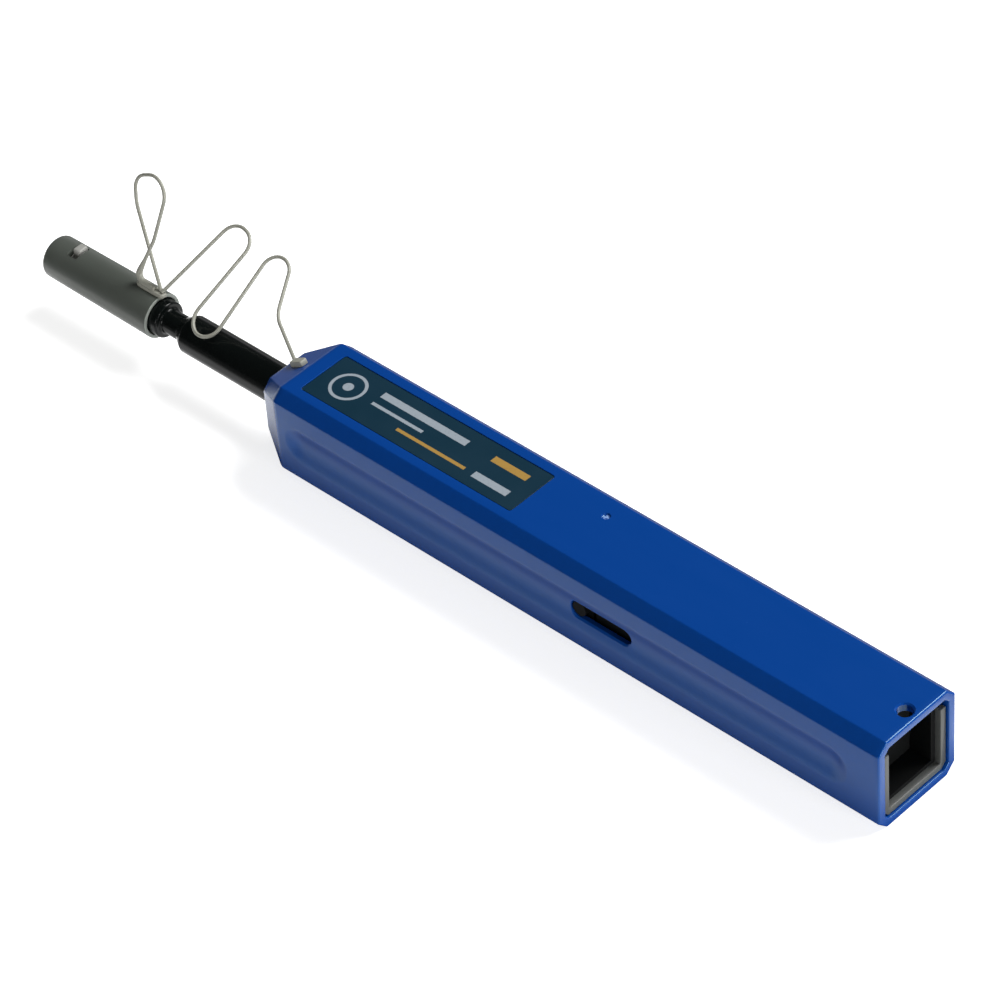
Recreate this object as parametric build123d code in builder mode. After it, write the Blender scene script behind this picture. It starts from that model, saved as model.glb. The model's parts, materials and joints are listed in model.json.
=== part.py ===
from build123d import *
import os
from math import acos, atan2, ceil, cos, degrees, pi, radians, sin, sqrt, tan

# Push-to-click cleaner for the 2.5 mm ferrules of fibre connectors. Millimetres.
# +X runs to the open rear end, the nozzle points to -X, +Z is up.
# The origin is the middle of the housing's flat bottom face.

# Housing
section = 19.0
edge_chamfer = 2.0
body_length = 135.0
nose_length = 6.6
nose_size = 11.8
nose_chamfer = 1.8
shell_wall = 1.6
rim_chamfer = 0.3

# Finger groove and stop slot in each side
groove_height = 8.1
groove_depth = 0.8
groove_front_land = 3.3
groove_rear_land = 7.5
slot_height = 3.15
slot_centre = 75.1

# Lanyard hole, gate mark and label on the top
lanyard_hole = 2.8
lanyard_setback = 2.5
lanyard_bevel = 0.35
gate_mark = 1.6
gate_mark_depth = 0.3
gate_mark_setback = 65.6
gate_mark_offset = 3.65
label_length = 49.3
label_width = 11.0
label_setback = 3.0
label_recess = 0.3
label_thickness = 0.22

# Motion
stroke = 10.0
tip_float = 1.0

# Clearances
slide_gap = 0.15
frame_gap = 0.2
shaft_gap = 0.05
press_gap = 0.01
seat_gap = 0.1
label_margin = 0.1
tray_side_gap = 0.5
tray_floor_gap = 0.3
tray_headroom = 2.2
rear_recess = 0.5

# Chassis
tray_front = 1.0
tray_wall = 2.0
tray_floor = 2.0
tray_corner = 1.0
frame_wall = 1.3
frame_length = 1.2
frame_corner = 1.1
cover_thickness = 1.4
cover_bevel = 0.5
front_web = 2.5
web = 2.0
bay_depth = 5.6
bay_wall = 1.5
rail_height = 1.0
rail_offset = 5.0
rail_rear_gap = 30.0
lug_end_gap = 0.125
lug_reach = 1.2
tongue_length = 9.0
tongue_slit = 0.6
tongue_margin = 0.5

# Nozzle
tube_diameter = 7.4
tube_bore = 5.2
flange_diameter = 10.2
flange_thickness = 2.4
tube_straight = 30.9
tube_end = 33.1
tube_end_diameter = 4.7
socket_diameter = 3.9
socket_length = 5.2
neck_length = 3.9
collar_diameter = 7.0
collar_length = 5.0
collar_bevel = 0.35
sleeve_diameter = 4.6
sleeve_front = 55.5
sleeve_bore = 2.9
sleeve_taper = 0.4
sleeve_taper_length = 1.5

# Rotor and cleaning tip
journal_diameter = 4.0
journal_gap = 2.4
barrel_diameter = 9.6
barrel_end_land = 5.6
barrel_bore = 2.0
cam_pin_diameter = 1.4
cam_pin_land = 3.0
cam_pin_bite = 0.9
cam_pin_bevel = 0.15
cam_pin_seat_share = 0.7
cam_groove_depth = 1.2
cam_groove_gap = 0.25
shaft_diameter = 2.6
shaft_bore = 1.6
shaft_socket = 11.0
shaft_front = 53.2
tip_diameter = 2.4
tip_head = 3.6
tip_stem = 1.1
tip_stem_length = 8.4
tip_chamber = 2.0
tip_chamber_length = 8.7
tip_slot = 0.5
tip_slot_depth = 0.2
tip_bevel = 0.25
head_gap = 0.2

# Springs
return_spring_length = 24.0
return_spring_diameter = 7.8
return_wire = 0.7
return_turns = 5
tip_spring_diameter = 1.6
tip_wire = 0.24
tip_turns = 4

# Reels, gear and rack
takeup_setback = 86.0
supply_setback = 108.0
pin_diameter = 1.5
reel_gap = 0.3
reel_flange = 0.8
reel_side_gap = 0.4
takeup_width = 7.2
takeup_hub = 4.8
takeup_thread_radius = 3.2
supply_hub = 3.6
supply_thread_radius = 4.8
ratchet_teeth = 18
ratchet_depth = 0.6
ratchet_flank_share = 0.1
pawl_reach = 6.5
pawl_block = 3.0
pawl_block_height = 1.0
pawl_leaf = 0.35
pawl_lift = 0.15
pawl_tooth = 1.1
pawl_clearance_angle = 1.5
gear_module = 0.75
gear_teeth = 12
gear_pressure = 25.0
gear_addendum = 0.9
gear_dedendum = 1.25
flank_points = 5
gear_backlash = 0.12
gear_width = 2.2
gear_side_gap = 0.3
rack_plate = 1.0
rack_end_margin = 6.0
spare_teeth = 2
stop_thickness = 2.0
stop_width = 8.8
stop_reach = 4.5
stop_slot = 2.4
stop_slot_top = 3.7
peg_diameter = 2.0
peg_height = 0.8
thread_diameter = 0.3
thread_inset = 1.0
thread_lead_in = 2.0
thread_lift = 0.2
thread_bend = 8.0
thread_guide_bend = 4.0

# Guide cap
cap_rim = 38.9
cap_front = 66.5
cap_rim_diameter = 8.8
cap_front_diameter = 8.0
cap_bore = 7.3
cap_step = 57.5
cap_front_bore = 5.8
cap_front_bevel = 0.5
cap_rim_bevel = 0.2
cap_window_length = 2.4
cap_window_width = 3.6
cap_window_setback = 61.5
guide_rear = 58.5
guide_front = 66.0
guide_bore = 2.54
guide_counterbore = 3.0
guide_land = 5.0
nub_length = 1.7
nub_width = 2.3
nub_offset = 0.55
nub_height = 0.5
nub_root = 0.5
nub_bevel = 0.2

# Tether
tether_diameter = 0.7
tether_lift = 15.2
tether_tilt = 30.0
loop_tilt = 70.0
loop_spread = 0.55
loop_offset = 0.55
anchor_length = 4.0
anchor_width = 1.7
anchor_height = 1.1
anchor_setback = 1.0
foot_length = 7.0
foot_width = 1.7
foot_height = 1.1
foot_overhang = 0.9

# Corners of the tether's strap: distance ahead of the shoulder, height up the slope, bend radius
strap_corners = (
    (12.6, 5.6, 3.0),
    (17.9, 16.9, 2.2),
    (23.2, 16.6, 2.2),
    (23.9, -3.6, 2.5),
    (29.9, -3.4, 2.5),
    (28.3, 18.2, 2.4),
    (34.5, 17.8, 2.8),
)
strap_end = 38.8

# Corners of the finger loop: distance ahead of the shoulder, height, side that it leans to, bend radius
loop_corners = (
    (42.6, 8.6, 1, 8.0),
    (41.3, 20.3, 1, 3.4),
    (49.2, 20.3, 0, 3.4),
    (48.9, 14.2, -1, 5.0),
)
loop_start = 44.8
loop_end = 39.6

# Derived places
front = -body_length / 2
rear = body_length / 2
axis_z = section / 2
inner_size = section - 2 * shell_wall
inner_chamfer = edge_chamfer - shell_wall * (2 - sqrt(2))
roof = section - shell_wall
tube_radius = tube_diameter / 2
slot_length = stroke + slot_height + 2 * lug_end_gap
lug_x = front + slot_centre - stroke / 2
tray_width = inner_size - 2 * tray_side_gap
channel = tray_width - 2 * tray_wall
tray_bottom = shell_wall + tray_floor_gap
channel_floor = tray_bottom + tray_floor
tray_top = roof - tray_headroom
tray_start = front + tray_front
tray_end = rear - rear_recess
tray_rear = tray_end - frame_length
frame_width = inner_size - 2 * frame_gap
frame_bottom = shell_wall + frame_gap
web_1 = tray_start
flange_start = web_1 + front_web + seat_gap
web_2 = flange_start + flange_thickness + seat_gap
web_3 = web_2 + web + journal_gap
barrel_start = web_3 + web + reel_gap
barrel_length = stroke + 2 * barrel_end_land
barrel_end = barrel_start + barrel_length
web_4 = barrel_end + reel_gap
cover_end = web_4 + web
cam_pin_x = barrel_end - cam_pin_land
stop_x = cover_end + return_spring_length + seat_gap
takeup_x = front + takeup_setback
supply_x = front + supply_setback
pitch_radius = gear_module * gear_teeth / 2
reel_radius = axis_z - channel_floor - reel_gap
reel_y = -channel / 2 + reel_side_gap
gear_y = reel_y + takeup_width + gear_side_gap
nozzle_axis = Axis((0, 0, axis_z), (1, 0, 0))
axis_plane = Plane(origin=(0, 0, axis_z), x_dir=(1, 0, 0), z_dir=(0, -1, 0))


def across(x):
    """Plane across the nozzle axis at x: its own x is +Y and its own y is +Z."""
    return Plane(origin=(x, 0, axis_z), x_dir=(0, 1, 0), z_dir=(1, 0, 0))


def bevelled_square(size, corner):
    """Square with its corners cut at 45 degrees."""
    with BuildSketch() as outline:
        Rectangle(size, size)
        chamfer(outline.vertices(), corner)
    return outline.sketch


def strap_point(ahead, w):
    """Point of the tether's tilted plane, ahead of the front shoulder and w up the slope."""
    tilt = radians(tether_tilt)
    return (front - ahead, w * cos(tilt), tether_lift + w * sin(tilt))


def loop_point(ahead, height, aside):
    """Point of the finger loop's steep plane, shifted aside where its two legs cross."""
    tilt = radians(loop_tilt)
    y = loop_offset + height * cos(tilt) - aside * sin(tilt)
    base = axis_z + cap_rim_diameter / 2 + foot_height - tether_diameter / 2
    z = base + height * sin(tilt) + aside * cos(tilt)
    return (front - ahead, y, z)


# Housing: a bevelled square tube, open at the rear, with a tapered nose
nose_inner = nose_size + (section - nose_size) * shell_wall / nose_length - 2 * shell_wall
outside = bevelled_square(section, edge_chamfer)
inside = bevelled_square(inner_size, inner_chamfer)
nose_outside = bevelled_square(nose_size, nose_chamfer)
nose_inside = bevelled_square(nose_inner, inner_chamfer)
with BuildPart() as outer_housing:
    with BuildSketch(across(front)):
        add(outside)
    extrude(amount=body_length)
    chamfer(outer_housing.faces().sort_by(Axis.X)[-1].edges(), rim_chamfer)
    with BuildSketch(across(front)):
        add(outside)
    with BuildSketch(across(front - nose_length)):
        add(nose_outside)
    loft(ruled=True)
    with BuildSketch(across(front)):
        add(inside)
    extrude(amount=body_length, mode=Mode.SUBTRACT)
    with BuildSketch(across(front)):
        add(inside)
    with BuildSketch(across(front - nose_length + shell_wall)):
        add(nose_inside)
    loft(ruled=True, mode=Mode.SUBTRACT)
    with BuildSketch(across(front - nose_length)):
        Circle(tube_radius + slide_gap)
    extrude(amount=nose_length, mode=Mode.SUBTRACT)

    # Finger groove: a scoop whose round section and round ends share one radius
    scoop = (groove_height**2 / 4 + groove_depth**2) / (2 * groove_depth)
    scoop_y = section / 2 - groove_depth + scoop
    scoop_start = front + groove_front_land + groove_height / 2
    scoop_end = rear - groove_rear_land - groove_height / 2
    for side in (-1, 1):
        with BuildSketch(across(scoop_start)):
            with Locations((side * scoop_y, 0)):
                Circle(scoop)
        extrude(amount=scoop_end - scoop_start, mode=Mode.SUBTRACT)
        with Locations((scoop_start, side * scoop_y, axis_z), (scoop_end, side * scoop_y, axis_z)):
            Sphere(scoop, mode=Mode.SUBTRACT)

    # Slot through both sides, in which the chassis's stop lugs travel
    with BuildSketch(axis_plane):
        with Locations((front + slot_centre, 0)):
            SlotOverall(slot_length, slot_height)
    extrude(amount=section, both=True, mode=Mode.SUBTRACT)

    # Top: lanyard hole, gate mark and the label's recess
    with Locations(Plane.XY.offset(section)):
        with Locations((rear - lanyard_setback, 0)):
            hole_radius = lanyard_hole / 2
            CounterSinkHole(hole_radius, hole_radius + lanyard_bevel, depth=2 * shell_wall)
    with BuildSketch(Plane.XY.offset(section)):
        with Locations((front + gate_mark_setback, gate_mark_offset)):
            Circle(gate_mark / 2)
    extrude(amount=-gate_mark_depth, mode=Mode.SUBTRACT)
    label_x = front + label_setback + label_length / 2
    with BuildSketch(Plane.XY.offset(section)):
        with Locations((label_x, 0)):
            Rectangle(label_length + 2 * label_margin, label_width + 2 * label_margin)
    extrude(amount=-label_recess, mode=Mode.SUBTRACT)

    # Blind holes for the rack's pegs in the roof and for the cam pin in the floor
    peg_x = (stop_x + 2 * stop_thickness, takeup_x + stroke)
    with BuildSketch(Plane.XY.offset(roof)):
        with Locations(*[(x, 0) for x in peg_x]):
            Circle(peg_diameter / 2 + press_gap)
    extrude(amount=peg_height + press_gap, mode=Mode.SUBTRACT)
    pin_seat = cam_pin_seat_share * shell_wall
    with BuildSketch(Plane.XY.offset(shell_wall)):
        with Locations((cam_pin_x, 0)):
            Circle(cam_pin_diameter / 2 + press_gap)
    extrude(amount=-pin_seat, mode=Mode.SUBTRACT)

# Label: a thin plate on the floor of its recess
with BuildPart() as label_plate:
    with BuildSketch(Plane.XY.offset(section - label_recess)):
        with Locations((label_x, 0)):
            Rectangle(label_length, label_width)
    extrude(amount=label_thickness)

# Rack: teeth that turn the gear, and the forked stop that the return spring pushes on
half_tooth = pi * gear_module / 4 - gear_backlash / 2
addendum = gear_addendum * gear_module
dedendum = gear_dedendum * gear_module
flank = tan(radians(gear_pressure))
pitch_line = axis_z + pitch_radius
rack_end = takeup_x + stroke + rack_end_margin
tooth_count = ceil(stroke / (pi * gear_module)) + 2 * spare_teeth
with BuildPart() as drive_rack:
    with BuildSketch(Plane.XY.offset(roof - rack_plate)):
        with Locations(((stop_x + rack_end) / 2, 0)):
            Rectangle(rack_end - stop_x, stop_width)
    extrude(amount=rack_plate)
    with BuildSketch(Plane.XY.offset(roof)):
        with Locations(*[(x, 0) for x in peg_x]):
            Circle(peg_diameter / 2)
    extrude(amount=peg_height)
    with BuildSketch(across(stop_x)):
        with Locations((0, (roof - rack_plate - axis_z - stop_reach) / 2)):
            Rectangle(stop_width, roof - rack_plate - axis_z + stop_reach)
        with Locations((0, -stop_reach / 2)):
            Rectangle(stop_slot, stop_reach, mode=Mode.SUBTRACT)
        with Locations((0, (stop_slot_top - stop_slot / 2) / 2)):
            Rectangle(stop_slot, stop_slot_top - stop_slot / 2, mode=Mode.SUBTRACT)
        with Locations((0, stop_slot_top - stop_slot / 2)):
            Circle(stop_slot / 2, mode=Mode.SUBTRACT)
    extrude(amount=stop_thickness)
    rack_plane = Plane(origin=(0, gear_y + gear_width, 0), x_dir=(1, 0, 0), z_dir=(0, -1, 0))
    root_half = half_tooth + dedendum * flank
    tip_half = half_tooth - addendum * flank
    first_tooth = takeup_x - spare_teeth * pi * gear_module
    strip_start = first_tooth - pi * gear_module / 2
    strip_length = tooth_count * pi * gear_module
    with BuildSketch(rack_plane):
        with BuildLine():
            Polyline(
                (strip_start, pitch_line + dedendum),
                (strip_start + strip_length, pitch_line + dedendum),
                (strip_start + strip_length, roof - rack_plate),
                (strip_start, roof - rack_plate),
                close=True,
            )
        make_face()
        for index in range(tooth_count):
            tooth_x = first_tooth + index * pi * gear_module
            with BuildLine():
                Polyline(
                    (tooth_x - root_half, pitch_line + dedendum),
                    (tooth_x - tip_half, pitch_line - addendum),
                    (tooth_x + tip_half, pitch_line - addendum),
                    (tooth_x + root_half, pitch_line + dedendum),
                    close=True,
                )
            make_face()
    extrude(amount=gear_width)

# Cam pin: stands in the housing's floor and reaches into the barrel's groove
cam_pin_top = axis_z - barrel_diameter / 2 + cam_pin_bite
with BuildPart() as cam_pin:
    with BuildSketch(Plane.XY.offset(shell_wall - pin_seat)):
        with Locations((cam_pin_x, 0)):
            Circle(cam_pin_diameter / 2)
    extrude(amount=cam_pin_top - shell_wall + pin_seat)
    chamfer(cam_pin.edges().group_by(Axis.Z)[-1], cam_pin_bevel)

# Chassis tray: an open channel with bearing webs, reel pin holes, rear bay and stop lugs
with BuildPart() as chassis_tray:
    tray_plane = Plane(origin=(tray_start, 0, 0), x_dir=(0, 1, 0), z_dir=(1, 0, 0))
    with BuildSketch(tray_plane) as tray_section:
        with Locations((0, (tray_bottom + tray_top) / 2)):
            Rectangle(tray_width, tray_top - tray_bottom)
        chamfer(tray_section.vertices().group_by(Axis.Y)[0], tray_corner)
        with Locations((0, (channel_floor + tray_top) / 2)):
            Rectangle(channel, tray_top - channel_floor, mode=Mode.SUBTRACT)
    extrude(amount=tray_rear - tray_start)
    half_height = axis_z - channel_floor
    for x, thickness, height in (
        (web_1, front_web, half_height),
        (web_2, web, half_height),
        (web_3, web, half_height),
        (web_4, web, half_height),
        (tray_end - bay_depth - bay_wall, bay_wall, tray_top - channel_floor),
    ):
        with Locations((x + thickness / 2, 0, channel_floor + height / 2)):
            Box(thickness, channel, height)
    with BuildSketch(across(web_1)):
        Circle(tube_radius + press_gap)
    extrude(amount=web_2 + web - web_1, mode=Mode.SUBTRACT)
    with BuildSketch(across(web_3)):
        Circle(journal_diameter / 2 + shaft_gap)
    extrude(amount=web_4 + web - web_3, mode=Mode.SUBTRACT)
    with BuildSketch(axis_plane):
        with Locations((takeup_x, 0), (supply_x, 0)):
            Circle(pin_diameter / 2 + press_gap)
    extrude(amount=section, both=True, mode=Mode.SUBTRACT)
    pin_slot = cam_pin_diameter + 2 * cam_groove_gap
    with BuildSketch(Plane.XY.offset(tray_bottom)):
        with Locations((cam_pin_x - stroke / 2, 0)):
            SlotOverall(stroke + pin_slot + 2 * cam_groove_gap, pin_slot)
    extrude(amount=tray_floor, mode=Mode.SUBTRACT)

    # Stop lugs, each on a springy tongue cut free from the side wall on three sides
    tongue_half = slot_height / 2 + tongue_slit + tongue_margin
    with BuildSketch(axis_plane):
        with BuildLine():
            Polyline(
                (lug_x - tongue_length + tongue_half, tongue_half),
                (lug_x + tongue_half, tongue_half),
                (lug_x + tongue_half, -tongue_half),
                (lug_x - tongue_length + tongue_half, -tongue_half),
                (lug_x - tongue_length + tongue_half, -tongue_half + tongue_slit),
                (lug_x + tongue_half - tongue_slit, -tongue_half + tongue_slit),
                (lug_x + tongue_half - tongue_slit, tongue_half - tongue_slit),
                (lug_x - tongue_length + tongue_half, tongue_half - tongue_slit),
                close=True,
            )
        make_face()
    extrude(amount=section, both=True, mode=Mode.SUBTRACT)
    lug_radius = slot_height / 2 - slide_gap
    for side in (-1, 1):
        lug_base = (lug_x, side * tray_width / 2, axis_z)
        lug_plane = Plane(origin=lug_base, x_dir=(1, 0, 0), z_dir=(0, side, 0))
        with BuildSketch(lug_plane):
            Circle(lug_radius)
        extrude(amount=lug_reach)

    # Guide rails take up the side gap ahead of the rear frame
    rail_length = tray_end - rail_rear_gap - tray_start
    for side in (-1, 1):
        for level in (-1, 1):
            rail_y = side * (tray_width / 2 + (tray_side_gap - slide_gap) / 2)
            rail_z = axis_z + level * rail_offset
            with Locations((tray_start + rail_length / 2, rail_y, rail_z)):
                Box(rail_length, tray_side_gap - slide_gap, rail_height)

# Rear frame: the U-shaped end of the chassis, which fills the housing's mouth
frame_plane = Plane(origin=(tray_rear, 0, 0), x_dir=(0, 1, 0), z_dir=(1, 0, 0))
frame_floor = frame_bottom + frame_wall
with BuildPart() as rear_frame:
    with BuildSketch(frame_plane) as frame_section:
        with Locations((0, (frame_bottom + tray_top) / 2)):
            Rectangle(frame_width, tray_top - frame_bottom)
        chamfer(frame_section.vertices().group_by(Axis.Y)[0], frame_corner)
        with Locations((0, (frame_floor + tray_top) / 2)):
            Rectangle(frame_width - 2 * frame_wall, tray_top - frame_floor, mode=Mode.SUBTRACT)
    extrude(amount=frame_length)

# Chassis cover: closes the four bearing seats from above
with BuildPart() as chassis_cover:
    with BuildSketch(Plane.XY.offset(tray_top)):
        with Locations(((tray_start + cover_end) / 2, 0)):
            Rectangle(cover_end - tray_start, tray_width)
    extrude(amount=cover_thickness)
    chamfer(chassis_cover.edges().filter_by(Axis.X).group_by(Axis.Z)[-1], cover_bevel)
    web_height = tray_top - axis_z - shaft_gap
    for x, thickness in ((web_1, front_web), (web_2, web), (web_3, web), (web_4, web)):
        with Locations((x + thickness / 2, 0, tray_top - web_height / 2)):
            Box(thickness, channel - 2 * slide_gap, web_height)
    with BuildSketch(across(web_1)):
        Circle(tube_radius + press_gap)
    extrude(amount=web_2 + web - web_1, mode=Mode.SUBTRACT)
    with BuildSketch(across(web_3)):
        Circle(journal_diameter / 2 + shaft_gap)
    extrude(amount=web_4 + web - web_3, mode=Mode.SUBTRACT)

# Nozzle tube: flange between the front webs, long barrel, tapered shoulder at its end
with BuildPart() as nozzle_tube:
    with BuildSketch(axis_plane):
        with BuildLine():
            Polyline(
                (web_2 + web, tube_bore / 2),
                (web_2 + web, tube_radius),
                (flange_start + flange_thickness, tube_radius),
                (flange_start + flange_thickness, flange_diameter / 2),
                (flange_start, flange_diameter / 2),
                (flange_start, tube_radius),
                (front - tube_straight, tube_radius),
                (front - tube_end, tube_end_diameter / 2),
                (front - tube_end, socket_diameter / 2),
                (front - tube_end + socket_length, socket_diameter / 2),
                (front - tube_end + socket_length, tube_bore / 2),
                close=True,
            )
        make_face()
    revolve(axis=nozzle_axis)

# Tip sleeve: pressed into the tube, with a neck, a collar for the cap and a slim barrel
spigot = front - tube_end + socket_length - seat_gap
collar_start = front - tube_end - neck_length
with BuildPart() as tip_sleeve:
    with BuildSketch(axis_plane):
        with BuildLine():
            Polyline(
                (spigot, sleeve_bore / 2),
                (spigot, socket_diameter / 2 - press_gap),
                (front - tube_end, socket_diameter / 2 - press_gap),
                (front - tube_end, tube_end_diameter / 2),
                (collar_start, tube_end_diameter / 2),
                (collar_start, collar_diameter / 2),
                (collar_start - collar_length, collar_diameter / 2),
                (collar_start - collar_length, sleeve_diameter / 2),
                (front - sleeve_front + sleeve_taper_length, sleeve_diameter / 2),
                (front - sleeve_front, sleeve_diameter / 2 - sleeve_taper),
                (front - sleeve_front, sleeve_bore / 2),
                close=True,
            )
        make_face()
    revolve(axis=nozzle_axis)
    collar_edges = tip_sleeve.edges().filter_by(GeomType.CIRCLE)
    chamfer(collar_edges.group_by(lambda e: e.radius)[-1], collar_bevel)

# Cam barrel: turns half a turn as the fixed pin runs along its helical groove
cam_lead = 2 * stroke
groove_width = cam_pin_diameter + 2 * cam_groove_gap
groove_floor = barrel_diameter / 2 - cam_groove_depth
groove_angle = -90 - 360 * (stroke + cam_groove_gap) / cam_lead
helix_start = cam_pin_x - stroke - cam_groove_gap
outward = Vector(0, cos(radians(groove_angle)), sin(radians(groove_angle)))
groove_helix = Helix(
    pitch=cam_lead,
    height=stroke + 2 * cam_groove_gap,
    radius=groove_floor + cam_groove_depth / 2,
)
groove_start = Plane(origin=(helix_start, 0, axis_z), x_dir=outward, z_dir=(1, 0, 0))
groove_path = groove_start.location * groove_helix
with BuildPart() as cam_barrel:
    with BuildSketch(axis_plane):
        with BuildLine():
            Polyline(
                (web_3, barrel_bore / 2),
                (web_3, journal_diameter / 2),
                (barrel_start, journal_diameter / 2),
                (barrel_start, barrel_diameter / 2),
                (barrel_end, barrel_diameter / 2),
                (barrel_end, journal_diameter / 2),
                (web_4 + web, journal_diameter / 2),
                (web_4 + web, barrel_bore / 2),
                close=True,
            )
        make_face()
    revolve(axis=nozzle_axis)
    with BuildSketch(across(web_3)):
        Circle(shaft_diameter / 2 + press_gap)
    extrude(amount=shaft_socket, mode=Mode.SUBTRACT)
    with BuildSketch(Plane(origin=groove_path @ 0, x_dir=outward, z_dir=groove_path % 0)):
        Rectangle(cam_groove_depth, groove_width)
    sweep(path=groove_path, is_frenet=True, mode=Mode.SUBTRACT)
    end_angle = -90 + 360 * cam_groove_gap / cam_lead
    for turn, x in ((groove_angle, helix_start), (end_angle, cam_pin_x + cam_groove_gap)):
        radial = Vector(0, cos(radians(turn)), sin(radians(turn)))
        mill_base = Vector(x, 0, axis_z) + radial * groove_floor
        with BuildSketch(Plane(origin=mill_base, x_dir=(1, 0, 0), z_dir=radial)):
            Circle(groove_width / 2)
        extrude(amount=2 * cam_groove_depth, mode=Mode.SUBTRACT)

# Tip shaft: hollow, turned by the barrel, with the tip spring's chamber at its front
shaft_end = front - shaft_front
with BuildPart() as tip_shaft:
    with BuildSketch(axis_plane):
        with BuildLine():
            Polyline(
                (web_3 + shaft_socket - seat_gap, shaft_bore / 2),
                (web_3 + shaft_socket - seat_gap, shaft_diameter / 2),
                (shaft_end, shaft_diameter / 2),
                (shaft_end, tip_chamber / 2),
                (shaft_end + tip_chamber_length, tip_chamber / 2),
                (shaft_end + tip_chamber_length, shaft_bore / 2),
                close=True,
            )
        make_face()
    revolve(axis=nozzle_axis)

# Cleaning tip: the thread runs across its face in a shallow slot
head_back = shaft_end - tip_float - head_gap
head_face = head_back - tip_head
with BuildPart() as cleaning_tip:
    with BuildSketch(across(head_face)):
        Circle(tip_diameter / 2)
    extrude(amount=tip_head)
    chamfer(cleaning_tip.faces().sort_by(Axis.X)[0].edges(), tip_bevel)
    with BuildSketch(across(head_back)):
        Circle(tip_stem / 2)
    extrude(amount=tip_stem_length)
    with BuildSketch(across(head_face)):
        Rectangle(tip_slot, tip_diameter)
    extrude(amount=tip_slot_depth, mode=Mode.SUBTRACT)
    with BuildSketch(across(head_face)):
        with Locations((0, tip_diameter / 2), (0, -tip_diameter / 2)):
            Rectangle(tip_slot, 2 * tip_slot_depth)
    extrude(amount=tip_head, mode=Mode.SUBTRACT)


def spring_path(start_x, length, mean_diameter, wire, turns):
    """Helical centre line of a spring on the nozzle axis, from end to end of its wire."""
    height = length - wire
    helix = Helix(pitch=height / turns, height=height, radius=mean_diameter / 2)
    return across(start_x + wire / 2).location * helix


# Return spring: pushes the chassis forward from the rack's fixed stop
return_coil = spring_path(
    cover_end + seat_gap / 2, return_spring_length, return_spring_diameter, return_wire, return_turns
)
with BuildPart() as return_spring:
    with BuildSketch(Plane(origin=return_coil @ 0, x_dir=(0, 1, 0), z_dir=return_coil % 0)):
        Rectangle(return_wire, return_wire)
    sweep(path=return_coil, is_frenet=True)

# Tip spring: lets the cleaning tip give way when a ferrule pushes on it
tip_spring_length = tip_chamber_length + tip_float + head_gap - seat_gap
tip_coil_start = head_back + seat_gap / 2
tip_coil = spring_path(tip_coil_start, tip_spring_length, tip_spring_diameter, tip_wire, tip_turns)
with BuildPart() as tip_spring:
    with BuildSketch(Plane(origin=tip_coil @ 0, x_dir=(0, 1, 0), z_dir=tip_coil % 0)):
        Rectangle(tip_wire, tip_wire)
    sweep(path=tip_coil, is_frenet=True)

# Reel pins: steel pins pressed into both side walls of the tray
with BuildPart() as takeup_pin:
    with BuildSketch(Plane(origin=(takeup_x, tray_width / 2, axis_z), x_dir=(1, 0, 0), z_dir=(0, -1, 0))):
        Circle(pin_diameter / 2)
    extrude(amount=tray_width)

with BuildPart() as supply_pin:
    with BuildSketch(Plane(origin=(supply_x, tray_width / 2, axis_z), x_dir=(1, 0, 0), z_dir=(0, -1, 0))):
        Circle(pin_diameter / 2)
    extrude(amount=tray_width)

# Take-up reel: spool whose left flange is a saw-toothed ratchet
reel_bore = pin_diameter / 2 + shaft_gap
takeup_end = reel_y + takeup_width
ratchet_step = 2 * pi / ratchet_teeth
ratchet_low = reel_radius - ratchet_depth
ratchet_points = []
for index in range(ratchet_teeth):
    crest = index * ratchet_step
    valley = (index + ratchet_flank_share) * ratchet_step
    ratchet_points.append((reel_radius * cos(crest), reel_radius * sin(crest)))
    ratchet_points.append((ratchet_low * cos(valley), ratchet_low * sin(valley)))
with BuildPart() as takeup_reel:
    takeup_axis = Axis((takeup_x, 0, axis_z), (0, 1, 0))
    with BuildSketch(across(takeup_x)):
        with BuildLine():
            Polyline(
                (reel_y, reel_bore),
                (reel_y, takeup_hub / 2),
                (takeup_end - reel_flange, takeup_hub / 2),
                (takeup_end - reel_flange, reel_radius),
                (takeup_end, reel_radius),
                (takeup_end, reel_bore),
                close=True,
            )
        make_face()
    revolve(axis=takeup_axis)
    with BuildSketch(Plane(origin=(takeup_x, reel_y, axis_z), x_dir=(1, 0, 0), z_dir=(0, 1, 0))):
        with BuildLine():
            Polyline(*ratchet_points, close=True)
        make_face()
        Circle(reel_bore, mode=Mode.SUBTRACT)
    extrude(amount=reel_flange)

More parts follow.
